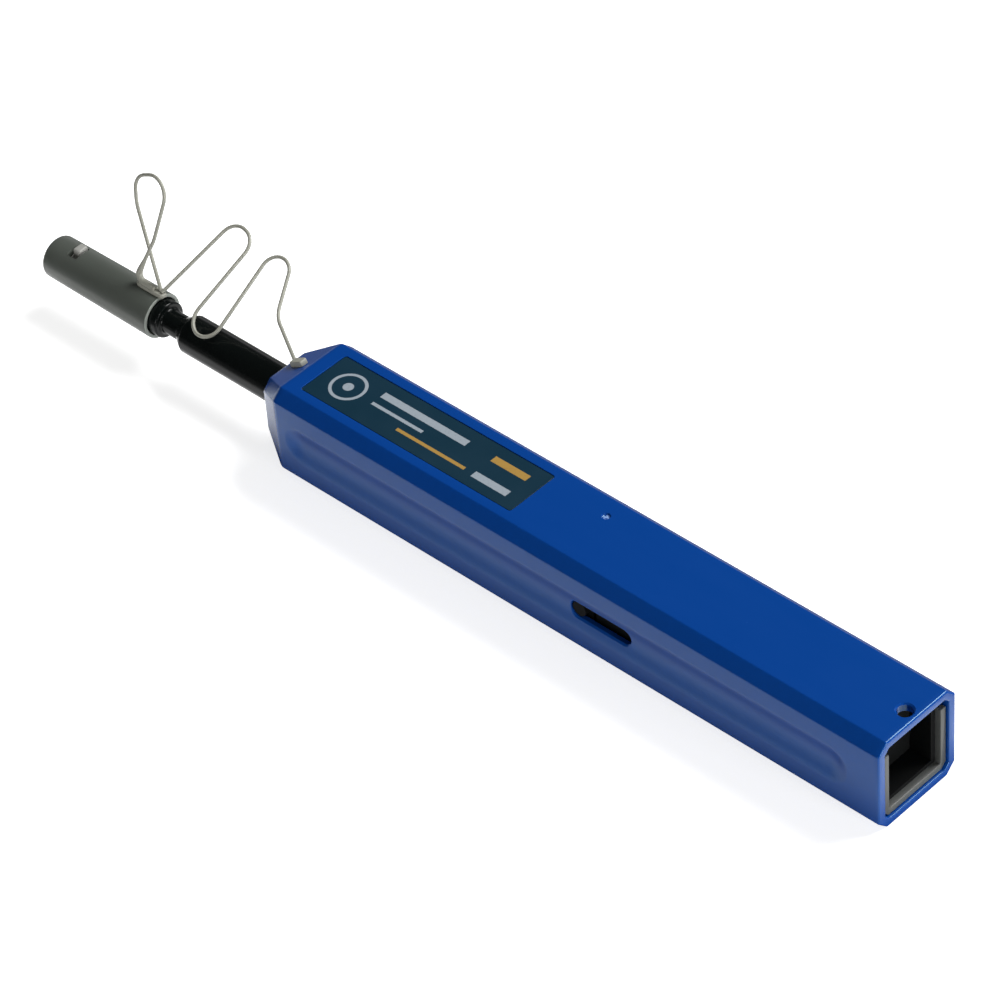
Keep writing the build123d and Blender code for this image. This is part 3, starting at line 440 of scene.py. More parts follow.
def tinted(colour, factor=1.0, offset=0.0):
    """Colour times a factor plus an offset, at most one, with full alpha."""
    return [min(1.0, c * factor + offset) for c in colour] + [1.0]


def moulded(name, colour, roughness, depth, variation, grain=3600.0, specular=0.5, wear=0.0,
            sheen=(1.0, 1.0, 1.0), highlight_from=None, gate=None):
    """Moulded plastic: fine spark-eroded grain, faint flow marks along X, and slow changes of tone and
    gloss. Wear sprinkles it with paler specks. Behind a given place on X the colour is painted pale, a
    painted highlight. A gate (x, y, radius, colour) is a round spot with noisy patches of that colour painted
    in it, a painted highlight in the mark's dimple."""
    material, graph, shader = node_material(name)
    place = graph.place()
    stretched = graph.add("Mapping", Vector=place, Scale=(0.25, 1.0, 1.0)).outputs["Vector"]
    flow = graph.noise(stretched, 160.0, 4.0, 0.55)
    fine = graph.noise(place, grain, 3.0, 0.6)
    tone = graph.mix(flow, tinted(colour, 1 - variation), tinted(colour, 1 + variation, 0.002 * variation))
    if wear:
        speck = graph.noise(place, 900.0, 6.0, 0.7)
        tone = graph.mix(graph.ramp(speck, 0.66, 0.74, 0.0, wear), tone, tinted(colour, 1.5, 0.02))
    # Behind the given place on X the colour is painted pale: a painted highlight on a rear rim.
    if highlight_from is not None:
        along = graph.add("SeparateXYZ", Vector=place).outputs["X"]
        tone = graph.mix(graph.ramp(along, highlight_from - 0.02 * MM, highlight_from), tone, tinted(colour, 2.5, 0.1))
    # A gate's mark gets noisy patches of a pale colour: a painted highlight in its dimple.
    if gate:
        x, y, radius, highlight_colour = gate
        flat = graph.add("Mapping", Vector=place, Location=(-x, -y, 0.0), Scale=(1.0, 1.0, 0.0))
        length = {"operation": "LENGTH"}
        distance = graph.add("VectorMath", length, i0=flat.outputs["Vector"]).outputs["Value"]
        near = graph.ramp(distance, radius * 0.6, radius, 1.0, 0.0)
        highlight_patches = graph.ramp(graph.noise(place, 2200.0, 2.0), 0.40, 0.56)
        tone = graph.mix(graph.times(near, highlight_patches), tone, tinted(highlight_colour))
    gloss = graph.ramp(flow, 0.3, 0.7, roughness * 0.88, roughness * 1.12)
    graph.feed(shader, Base_Color=tone, Roughness=gloss, Normal=graph.bump(fine, depth, 0.03 * MM),
               Specular_IOR_Level=specular, Specular_Tint=(*sheen, 1.0))
    return material


def drawn_steel(name, colour):
    """Drawn wire: bright metal with short streaks along X and a slight change of tone and gloss."""
    material, graph, shader = node_material(name)
    streaks = graph.add("Mapping", Vector=graph.place(), Scale=(1.0, 14.0, 14.0)).outputs["Vector"]
    noise = graph.noise(streaks, 500.0, 3.0, 0.6)
    tone = graph.mix(noise, tinted(colour, 0.85), tinted(colour))
    graph.feed(shader, Base_Color=tone, Roughness=graph.ramp(noise, 0.3, 0.7, 0.2, 0.34), Metallic=1.0)
    return material


def spun_thread(name, colour):
    """Wound thread: fine rounded ridges, one beside the other across Y, with a fluffy, uneven relief."""
    material, graph, shader = node_material(name)
    place = graph.place()
    along_y = {"bands_direction": "Y"}
    wave = graph.add("TexWave", along_y, Vector=place, Scale=1000.0, Distortion=0.6, Detail=1.0)
    ridges = wave.outputs["Fac"]
    relief = graph.math("ADD", ridges, graph.noise(place, 3000.0, 3.0))
    # The tone is darker in the valleys between the ridges: painted shade in the creases.
    tone = graph.mix(ridges, tinted(colour, 0.78), tinted(colour))
    relief = graph.bump(relief, 0.6, 0.08 * MM)
    graph.feed(shader, Base_Color=tone, Roughness=0.85, Normal=relief, Sheen_Weight=0.3)
    return material


def label_material(name, ground, pale, amber):
    """Printed film: a dark ground with plain bars and a ring around a small disc, as a ferrule's end. Each
    shape is the product of two smooth steps along a direction, or of two in the distance from the ring's
    middle."""
    ring_x, ring_inner, ring_outer, disc = -18.6, 2.9 * MM, 3.5 * MM, 1.0 * MM
    pale_bars = ((-2.5, 2.3, 20.0, 1.5), (-6.5, -0.4, 12.0, 0.7), (17.5, -2.6, 8.0, 1.5))
    amber_bars = ((3.5, -2.6, 16.0, 0.7), (17.5, 2.3, 8.0, 1.5))
    soft = 0.04 * MM
    material, graph, shader = node_material(name)
    place = graph.place()
    axes = graph.add("SeparateXYZ", Vector=place).outputs
    along = graph.math("SUBTRACT", axes["X"], (LABEL_LOW[0] + LABEL_HIGH[0]) / 2)
    across = axes["Y"]

    def between(value, low, high):
        rise = graph.ramp(value, low - soft, low + soft)
        return graph.times(rise, graph.ramp(value, high - soft, high + soft, 1.0, 0.0))

    def bar(x, y, length, width):
        return graph.times(between(along, (x - length / 2) * MM, (x + length / 2) * MM),
                           between(across, (y - width / 2) * MM, (y + width / 2) * MM))

    from_ring = graph.math("SUBTRACT", along, ring_x * MM)
    squares = graph.math("ADD", graph.times(from_ring, from_ring), graph.times(across, across))
    radius = graph.math("SQRT", squares)
    pale_marks = graph.most(between(radius, ring_inner, ring_outer), between(radius, -disc, disc))
    for shape in pale_bars:
        pale_marks = graph.most(pale_marks, bar(*shape))
    amber_marks = graph.most(*(bar(*shape) for shape in amber_bars))
    fleck = graph.noise(place, 2500.0, 4.0, 0.7)
    cover = graph.ramp(fleck, 0.25, 0.5, 0.82, 1.0)
    cloud = graph.noise(place, 120.0, 3.0)
    tone = graph.mix(cloud, tinted(ground, 0.9), tinted(ground, 1.12))
    tone = graph.mix(graph.times(pale_marks, cover), tone, tinted(pale))
    tone = graph.mix(graph.times(amber_marks, cover), tone, tinted(amber))
    graph.feed(shader, Base_Color=tone, Roughness=graph.ramp(cloud, 0.3, 0.7, 0.28, 0.34),
               Normal=graph.bump(fleck, 0.12, 0.02 * MM))
    return material


def dress(obj, material):
    """Gives every material slot of an object the same material."""
    if not obj.material_slots:
        obj.data.materials.append(material)
    for slot in obj.material_slots:
        slot.material = material


# Pieces


def bevelled_rings(half, corner, rounding, roundness, side_steps, arc_steps=5):
    """Rings of a bevelled square, one for each half width: eight sides joined by arcs. The sides are cut
    evenly, and a ring with roundness 1 keeps only the points' directions, so that it becomes a circle of
    that radius."""
    h, c = half, half - corner
    y = np.stack([h, h, c, -c, -h, -h, -c, c], 1)
    z = np.stack([-c, c, h, h, c, -c, -h, -h], 1)
    p = np.stack([y, z], -1)
    a, b = unit(np.roll(p, 1, 1) - p), unit(np.roll(p, -1, 1) - p)
    half_angle = np.radians(67.5)
    r = rounding[:, None, None]
    centre = p + unit(a + b) * r / np.sin(half_angle)
    u = (p + a * r / np.tan(half_angle) - centre)[:, :, None]
    v = (p + b * r / np.tan(half_angle) - centre)[:, :, None]
    share = np.linspace(0, 1, arc_steps)[:, None]
    arcs = centre[:, :, None] + arc(u, v, share, np.pi - 2 * half_angle)
    parts = []
    for k, steps in enumerate(side_steps):
        t = (np.arange(1, steps) / steps)[None, :, None]
        first, last = arcs[:, k, -1][:, None], arcs[:, (k + 1) % 8, 0][:, None]
        parts += [arcs[:, k], first * (1 - t) + last * t]
    ring = np.concatenate(parts, 1)
    circle = unit(ring) * half[:, None, None]
    return ring + (circle - ring) * roundness[:, None, None]


def groove_depth_at(x, z, sizes):
    """Depth of the finger groove: depth * (1 - (d / r)^2)^1.7, with r half of its height and d the distance
    from the groove's middle line, so its sides are steepest a little inside the rim and its ends are
    round."""
    reach = sizes.groove_height / 2
    start = HOUSING_LOW[0] + sizes.nose_length + sizes.groove_front + reach
    end = REAR - sizes.groove_rear - reach
    beyond = np.maximum(0, np.maximum(start - x, x - end))
    share = ((z - AXIS_Z) ** 2 + beyond**2) / reach**2
    return sizes.groove_depth * np.maximum(0, 1 - share) ** 1.7


def housing_mesh(sizes):
    """Housing shell as one closed surface of rings, which run from the nose's front edge back over the
    outside, round the open rear rim, forward over the inside and out through the nose's hole. The half width
    follows a profile."""
    e, nose = sizes.edge, HOUSING_LOW[0]
    front = nose + sizes.nose_length
    half, nose_half = SECTION / 2, sizes.nose_size / 2
    slope = (half - nose_half) / sizes.nose_length
    quarter = np.linspace(0, np.pi / 2, 6)
    groove_front = front + sizes.groove_front
    groove_back = REAR - sizes.groove_rear
    ahead, within, step = 1.0 * MM, 4.6 * MM, 0.8 * MM
    x = np.concatenate([
        np.linspace(nose + e, front - 2 * e, 6),
        np.linspace(front - 1.8 * e, front + 2 * e, 8),
        np.linspace(groove_front - ahead, groove_front + within, 34),
        np.linspace(groove_front + within + step, groove_back - within - step, 90),
        np.linspace(groove_back - within, groove_back + ahead, 34),
        np.linspace(groove_back + 2 * ahead, REAR - e, 6),
    ])
    shoulder = np.clip(front + 1.5 * e - x, 0, 3 * e)
    flare = slope * np.where(x < front - 1.5 * e, front - x, shoulder**2 / (6 * e))
    outer_half = half - flare
    edge_x = nose + e * (1 - np.cos(quarter[:-1]))
    edge_half = nose_half + slope * (edge_x - nose) - e * (1 - np.sin(quarter[:-1]))
    rim_x = REAR - e * (1 - np.sin(quarter[1:]))
    rim_half = half - e * (1 - np.cos(quarter[1:]))
    inner = half - sizes.wall
    inner_edge, inner_rounding, bore_edge = 0.2 * MM, 0.15 * MM, 0.25 * MM
    back_x = REAR - inner_edge * (1 - np.cos(quarter))
    back_half = inner + inner_edge * (1 - np.sin(quarter))
    wall_x = nose + sizes.wall
    wall_half = nose_half + slope * sizes.wall - sizes.wall
    bore = sizes.tube_bore
    inner_x = np.array([REAR - 6 * MM, 0, front, wall_x, wall_x, nose + bore_edge, nose])
    inner_half = np.array([inner, inner, inner, wall_half, bore, bore, bore + bore_edge])
    all_x = np.concatenate([edge_x, x, rim_x, back_x, inner_x])
    all_half = np.concatenate([edge_half, outer_half, rim_half, back_half, inner_half])
    outside = np.arange(len(all_x)) < len(edge_x) + len(x) + len(rim_x)
    inner_corner = sizes.corner - sizes.wall * (2 - math.sqrt(2))
    taper = np.clip((all_x - nose) / sizes.nose_length, 0, 1)
    corner = np.where(outside, sizes.nose_corner + (sizes.corner - sizes.nose_corner) * taper, inner_corner)
    shrink = np.concatenate([nose_half + slope * (edge_x - nose) - edge_half, 0 * x, half - rim_half])
    corner[outside] -= shrink * (2 - math.sqrt(2))
    rounding = np.where(outside, e, inner_rounding)
    roundness = (np.arange(len(all_x)) >= len(all_x) - 3).astype(float)
    steps = [72, 6, 12, 6, 72, 6, 12, 6]
    rings = bevelled_rings(all_half, corner, rounding, roundness, steps)
    y, z = rings[..., 0], rings[..., 1] + AXIS_Z
    xs = np.broadcast_to(all_x[:, None], y.shape)
    flank = half - 0.2 * MM
    dent = groove_depth_at(xs, z, sizes) * outside[:, None] * (np.abs(y) > flank)
    y = y - np.sign(y) * dent
    grid = np.stack([xs, y, z], -1)
    return mesh_of("housing_shell", [(grid.reshape(-1, 3), grid_faces(*y.shape, True, True), [])])


def stadium(length, height, steps=28):
    """Slot outline: two half circles joined by straight sides, once round against the clock."""
    turn = np.linspace(-np.pi / 2, np.pi / 2, steps)
    reach = (length - height) / 2
    right = np.stack([reach + height / 2 * np.cos(turn), height / 2 * np.sin(turn)], 1)
    return np.vstack([right, -right])


def cutters_mesh(sizes):
    """Closed bodies to cut away: the slot through both sides with eased rims, the lanyard hole, the label's
    recess and the gate's mark. Each is an outline stacked along one direction with an offset at each
    level."""
    front = HOUSING_LOW[0] + sizes.nose_length
    half = SECTION / 2
    ease = 0.45 * MM
    deep = half - sizes.groove_depth - 0.1 * MM
    slot_x = front + sizes.slot_centre
    outline = stadium(sizes.slot_length, sizes.slot_height)
    levels = [-half - ease, -deep - ease, -deep, deep, deep + ease, half + ease]
    growth = [1.3 * ease, ease, 0, 0, ease, 1.3 * ease]
    slot = stacked(outline, levels, growth, [0, 2, 1], [slot_x, 0, AXIS_Z])
    turn = full_turn(64)
    disc = np.stack([np.cos(turn), np.sin(turn)], 1)
    bevel, through = 0.3 * MM, 3.0 * MM
    hole = stacked(disc * sizes.hole_radius, [-through, -bevel, 0, bevel], [0, 0, bevel, 2 * bevel],
                   UPWARDS, [REAR - sizes.hole_setback, 0, SECTION])
    margin, label_corner, bevel = 0.1 * MM, 0.5 * MM, 0.06 * MM
    label_size = (LABEL_HIGH - LABEL_LOW)[:2] / 2 + margin
    outline = rounded(SQUARE * label_size, [label_corner] * 4, 8)
    middle = (LABEL_LOW + LABEL_HIGH) / 2
    recess = stacked(outline, [LABEL_LOW[2] - SECTION, -bevel, 0, bevel], [0, 0, bevel, 2 * bevel],
                     UPWARDS, [middle[0], middle[1], SECTION])
    gate = sizes.gate_radius
    heights = mm(-0.3, -0.24, -0.12, -0.02, 0.1)
    growth = np.array([-0.5, -0.22, -0.06, 0, 0.15]) * gate
    mark = stacked(disc * gate, heights, growth, UPWARDS, [front + GATE_X, GATE_Y, SECTION])
    return mesh_of("housing_cuts", [slot, hole, recess, mark])


def cut(mesh, cuts, name):
    """The mesh less the closed bodies of another, with exact arithmetic."""
    body, tool = linked(name + "_body", mesh), linked(name + "_tool", cuts)
    modifier = body.modifiers.new("cut", "BOOLEAN")
    modifier.operation = "DIFFERENCE"
    modifier.solver = "EXACT"
    modifier.object = tool
    graph = bpy.context.evaluated_depsgraph_get()
    result = bpy.data.meshes.new_from_object(body.evaluated_get(graph))
    for obj in (body, tool):
        bpy.data.objects.remove(obj, do_unlink=True)
    if not result.polygons:
        raise RuntimeError(f"{name}: the cut left nothing")
    result.name = name
    return result


def strap_point(x, w):
    """Point of the strap's tilted plane: x from the front shoulder and w up the slope, both in
    millimetres."""
    front = HOUSING_LOW[0] / MM + NOSE_LENGTH
    tilt = math.radians(STRAP_TILT)
    return np.array([front + x, w * math.cos(tilt), STRAP_HEIGHT + w * math.sin(tilt)]) * MM


def loop_point(x, height, aside):
    """Point of the finger loop's steep plane, shifted aside where its legs cross, all in millimetres."""
    front = HOUSING_LOW[0] / MM + NOSE_LENGTH
    tilt = math.radians(LOOP_TILT)
    y = LOOP_ASIDE + height * math.cos(tilt) - aside * math.sin(tilt)
    z = CAP_HIGH[2] / MM + LOOP_HEIGHT + height * math.sin(tilt) + aside * math.cos(tilt)
    return np.array([front + x, y, z]) * MM


class CLEANER_OT_housing(Operator):
    """Makes the bevelled housing with its finger grooves, slot, lanyard hole, label recess and gate mark"""

    bl_idname = "cleaner.housing"
    bl_label = "Housing"

    def execute(self, context):
        sizes, colours = context.scene.cleaner_sizes, context.scene.cleaner_colours
        mesh = cut(housing_mesh(sizes), cutters_mesh(sizes), "housing_shell")
        obj = piece("housing_shell", mesh, 30.0)
        gate_x = float(HOUSING_LOW[0] + sizes.nose_length + GATE_X)
        # The gate's mark is painted pale blue inside: a painted highlight.
        blue = moulded(
            "blue_moulding", colours.housing, roughness=0.21, grain=2600.0, depth=0.03, variation=0.03,
            wear=0.25, sheen=(0.60, 0.97, 1.0), gate=(gate_x, GATE_Y, 0.75 * sizes.gate_radius, colours.gate))
        dress(obj, blue)
        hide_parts("outer_housing")
        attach(obj, "housing")
        return {"FINISHED"}


class CLEANER_OT_label(Operator):
    """Makes the label film with its plain printed shapes"""

    bl_idname = "cleaner.label"
    bl_label = "Label"

    def execute(self, context):
        colours = context.scene.cleaner_colours
        corner, ease = 0.45 * MM, 0.05 * MM
        size = (LABEL_HIGH - LABEL_LOW) / 2
        outline = rounded(SQUARE * size[:2], [corner] * 4, 8)
        thick = 2 * size[2]
        middle = (LABEL_LOW + LABEL_HIGH) / 2
        place = [middle[0], middle[1], LABEL_LOW[2]]
        film = stacked(outline, [0, thick - ease, thick], [0, 0, -ease], UPWARDS, place)
        obj = piece("label_film", mesh_of("label_film", [film]))
        dress(obj, label_material("printed_film", colours.label, colours.print_pale, colours.print_amber))
        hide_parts("label_plate")
        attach(obj, "housing")
        return {"FINISHED"}


class CLEANER_OT_nozzle(Operator):
    """Makes the black nozzle tube and the tip sleeve with its neck and collar"""

    bl_idname = "cleaner.nozzle"
    bl_label = "Nozzle"

    def execute(self, context):
        black = moulded(
            "black_moulding", context.scene.cleaner_colours.nozzle, roughness=0.19, grain=3000.0, depth=0.04,
            variation=0.15, specular=0.23)
        front = HOUSING_LOW[0] + context.scene.cleaner_sizes.nose_length
        tip, back = TUBE_LOW[0], TUBE_HIGH[0]
        flange_front, flange_back = front + 3.6 * MM, front + 6.0 * MM
        taper, socket_end = 2.2 * MM, tip + 5.2 * MM
        flange, outer, bore, mouth, socket = (TUBE_HIGH[2] - AXIS_Z) / MM, 3.7, 2.6, 2.35, 1.95
        outline = [
            (back, bore), (back, outer), (flange_back, outer), (flange_back, flange), (flange_front, flange),
            (flange_front, outer), (tip + taper, outer), (tip, mouth), (tip, socket), (socket_end, socket),
            (socket_end, bore)]
        radii = [0.2, 0.2, 0.1, 0.3, 0.3, 0.1, 0.9, 0.02, 0.1, 0.1, 0.1]
        self.turned("nozzle_barrel", outline, radii, black, "nozzle_tube")
        root, tip, back = tip, SLEEVE_LOW[0], SLEEVE_HIGH[0]
        collar_back, collar_front, taper = root - 3.9 * MM, root - 8.9 * MM, 1.5 * MM
        bore, spigot, neck, collar, shank, end = 1.45, 1.94, 2.35, 3.5, 2.3, 1.9
        outline = [
            (back, bore), (back, spigot), (root, spigot), (root, neck), (collar_back, neck),
            (collar_back, collar), (collar_front, collar), (collar_front, shank), (tip + taper, shank),
            (tip, end), (tip, bore)]
        radii = [0.1, 0.1, 0.05, 0.02, 0.5, 0.35, 0.35, 0.1, 0.3, 0.12, 0.1]
        self.turned("nozzle_sleeve", outline, radii, black, "tip_sleeve")
        return {"FINISHED"}

    def turned(self, name, outline, radii, material, node):
        """Turned piece of the nozzle, from places in metres with radii and roundings in millimetres."""
        points = np.array([(x, r * MM) for x, r in outline])
        profile = refined(rounded(points, np.array(radii) * MM, 6), 3.0 * MM, closed=True)
        obj = piece(name, mesh_of(name, [lathe(profile, 112)]))
        dress(obj, material)
        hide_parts(node)
        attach(obj, "chassis")


class CLEANER_OT_cap(Operator):
    """Makes the tapered guide cap with its window, and the pale ferrule guide with its nub"""

    bl_idname = "cleaner.cap"
    bl_label = "Guide cap"

    def execute(self, context):
        colours = context.scene.cleaner_colours
        tip, rim = CAP_LOW[0], CAP_HIGH[0]
        step = tip + 9.0 * MM
        rim_radius, tip_radius, rim_bore, tip_bore = 4.37 * MM, 4.12 * MM, 3.65 * MM, 2.9 * MM
        outline = np.array([
            (rim, rim_bore), (rim, rim_radius), (tip, tip_radius), (tip, tip_bore), (step, tip_bore),
            (step, rim_bore)])
        roundings = mm(0.2, 0.22, 0.8, 0.15, 0.1, 0.1)
        profile = refined(rounded(outline, roundings, 9), 1.5 * MM, closed=True)
        shell = mesh_of("cap_shell", [lathe(profile, 128)])
        window_x = tip + 6.2 * MM
        window_size, window_corner, ease = mm(1.2, 1.8), 0.35 * MM, 0.3 * MM
        outline = rounded(SQUARE * window_size, [window_corner] * 4, 8)
        heights = [0, 3.9 * MM, 4.6 * MM]
        window = stacked(outline, heights, [0, 0, ease], UPWARDS, [window_x, 0, AXIS_Z])
        window = mesh_of("cap_window", [window])
        obj = piece("cap_shell", cut(shell, window, "cap_shell"), 30.0)
        # The cap's rear rim is painted pale: a painted highlight.
        dress(obj, moulded("grey_cap", colours.cap, roughness=0.33, depth=0.08, variation=0.08,
                           highlight_from=float(rim - 0.08 * MM)))
        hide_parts("guide_cap")
        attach(obj, "cap")
        tip, back = GUIDE_LOW[0], GUIDE_HIGH[0]
        step = tip + 5.0 * MM
        outer, entry, bore = 2.89 * MM, 1.27 * MM, 1.5 * MM
        outline = np.array([
            (back, bore), (back, outer), (tip, outer), (tip, entry), (step, entry), (step, bore)])
        roundings = mm(0.1, 0.1, 0.15, 0.25, 0.05, 0.05)
        profile = refined(rounded(outline, roundings, 6), 1.5 * MM, closed=True)
        nub_size = mm(1.7, 2.3, 2.2)
        nub = pad(np.array([window_x, 0.55 * MM, GUIDE_HIGH[2] - nub_size[2] / 2]), nub_size, 6.0)
        obj = piece("guide_sleeve", mesh_of("guide_sleeve", [lathe(profile, 96), nub]), 50.0)
        dress(obj, moulded("pale_guide", colours.guide, roughness=0.4, depth=0.15, variation=0.05))
        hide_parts("ferrule_guide")
        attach(obj, "cap")
        return {"FINISHED"}


class CLEANER_OT_tether(Operator):
    """Makes the moulded tether: anchor, zigzag strap in two parts, and twisted finger loop on its foot"""

    bl_idname = "cleaner.tether"
    bl_label = "Tether"

    def execute(self, context):
        sizes, grey = context.scene.cleaner_sizes, context.scene.cleaner_colours.tether
        radius, spacing = sizes.strap_radius, 0.5 * MM
        rubber = moulded("grey_strap", grey, roughness=0.42, grain=3000.0, depth=0.2, variation=0.1)
        front = HOUSING_LOW[0] + sizes.nose_length
        slope = (SECTION - sizes.nose_size) / 2 / sizes.nose_length
        anchor_x, anchor_size = front - 3.0 * MM, mm(3.4, 1.7, 1.15)
        anchor_z = SECTION - slope * (front - anchor_x)
        lift = np.array([-slope, 0, 1]) / math.hypot(slope, 1) * 0.5 * MM
        root = np.array([anchor_x - 1.0 * MM, 0, anchor_z - slope * MM + 0.55 * MM])
        corners = np.array([strap_point(x, w) for x, w, bend in ROUTE])
        bends = np.array([bend for x, w, bend in ROUTE]) * MM
        line = np.vstack([root, corners, loop_point(STRAP_END, 0, 0)])
        path = refined(rounded(line, bends, 14, closed=False), spacing)
        middle = int(np.argmin(np.linalg.norm(path - (corners[3] + corners[4]) / 2, axis=1)))
        anchor = pad(np.array([anchor_x, 0, anchor_z]) + lift, anchor_size, 7.0, turn=-math.atan(slope))
        foot_size = mm(6.8, 1.6, 1.0)
        foot_place = np.array([CAP_HIGH[0] - 2.6 * MM, LOOP_ASIDE * MM, CAP_HIGH[2] + 0.2 * MM])
        foot = pad(foot_place, foot_size, 5.0)
        loop = np.array([loop_point(x, height, aside) for x, height, aside, bend in LOOP])
        loop_bends = np.array([bend for x, height, aside, bend in LOOP])[1:-1] * MM
        loop_path = refined(rounded(loop, loop_bends, 18, closed=False), spacing)
        run = np.concatenate([[0], np.cumsum(np.linalg.norm(np.diff(loop_path, axis=0), axis=1))])
        root_end, root_fade, root_extra = 8.5 * MM, 3.5 * MM, 0.28 * MM
        thick = radius + root_extra * np.clip((root_end - run) / root_fade, 0, 1)
        for name, surfaces in (
            ("strap_front", [tube(path[:middle + 1], radius), anchor]),
            ("strap_back", [tube(path[middle:], radius)]),
            ("finger_loop", [tube(loop_path, thick), foot]),
        ):
            obj = piece(name, mesh_of(name, surfaces), 60.0)
            dress(obj, rubber)
            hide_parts("tether")
        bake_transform(bpy.data.objects["strap_front"])
        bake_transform(bpy.data.objects["strap_back"])
        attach(bpy.data.objects["finger_loop"], "cap")
        return {"FINISHED"}


class CLEANER_OT_springs(Operator):
    """Makes the return spring and the tip spring as round wire with closed ends"""

    bl_idname = "cleaner.springs"
    bl_label = "Springs"

    def execute(self, context):
        steel = drawn_steel("spring_wire", context.scene.cleaner_colours.steel)
        play = 0.02 * MM
        for name, node, low, high, wire, turns, body, joint, keep in (
            ("return_coil", "return_spring", SPRING_LOW, SPRING_HIGH,
             0.7 * MM, 9.0, "chassis", "push_stroke", 0.585),
            ("tip_coil", "tip_spring", TIP_SPRING_LOW, TIP_SPRING_HIGH,
             0.24 * MM, 12.0, "rotor", "tip_float", 0.9),
        ):
            mean = (high[1] - low[1] - wire) / 2 - play
            obj = piece(name, mesh_of(name, [coil(low[0], high[0], mean, wire, turns)]), 60.0)
            dress(obj, steel)
            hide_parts(node)
            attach(obj, body)
            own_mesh(obj)
        return {"FINISHED"}


class CLEANER_OT_rear_frame(Operator):
    """Makes the grey U-shaped end of the chassis with eased edges"""

    bl_idname = "cleaner.rear_frame"
    bl_label = "Rear frame"

    def execute(self, context):
        low, high = np.array(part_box("rear_frame"))
        half, wall, bevel, ease = high[1], 1.3 * MM, 1.1 * MM, 0.12 * MM
        bottom, top = low[2] - AXIS_Z, high[2] - AXIS_Z
        outline = np.array([
            (half - bevel, bottom), (half, bottom + bevel), (half, top), (half - wall, top),
            (half - wall, bottom + wall), (wall - half, bottom + wall), (wall - half, top), (-half, top),
            (-half, bottom + bevel), (bevel - half, bottom)])
        radii = mm(0.4, 0.4, 0.2, 0.2, 0.5, 0.5, 0.2, 0.2, 0.4, 0.4)
        levels = [low[0], high[0] - ease, high[0] - 0.3 * ease, high[0]]
        growth = [0, 0, -0.3 * ease, -ease]
        rim = stacked(rounded(outline, radii, 6), levels, growth, [2, 0, 1], [0, 0, AXIS_Z])
        obj = piece("rear_rim", mesh_of("rear_rim", [rim]), 40.0)
        grey = context.scene.cleaner_colours.chassis
        dress(obj, moulded("grey_moulding", grey, roughness=0.38, depth=0.2, variation=0.08))
        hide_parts("rear_frame")
        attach(obj, "chassis")
        return {"FINISHED"}


class CLEANER_OT_inner(Operator):
    """Gives the chassis, reels, gear, rack, cam and pins their plastics, steel and thread"""

    bl_idname = "cleaner.inner"
    bl_label = "Inner pieces"

    def execute(self, context):
        colours = context.scene.cleaner_colours
        finishes = {
            # The inner tray is near-black with little reflection: painted shade for the dark inside of the
            # housing.
            "chassis_black": moulded("painted_shade_tray", colours.tray_shade, roughness=0.5, depth=0.15, variation=0.1,
                                     specular=0.06),
            "inner_white": moulded("acetal", colours.acetal, roughness=0.35, depth=0.12, variation=0.04),
            "steel": drawn_steel("ground_steel", colours.steel),
            "thread_white": spun_thread("wound_thread", colours.thread),
        }
        for slot, name in (
            ("chassis_grey", "grey_moulding"), ("nozzle_black", "black_moulding"), ("cap_grey", "grey_cap"),
            ("guide_white", "pale_guide"), ("housing_blue", "blue_moulding"), ("label_film", "printed_film"),
            ("tether_grey", "grey_strap"),
        ):
            finishes[slot] = bpy.data.materials[name]
        for part in frame["record"]["subparts"]:
            dress(frame["nodes"][part["node"]], finishes[part["material_slot"]])
        return {"FINISHED"}


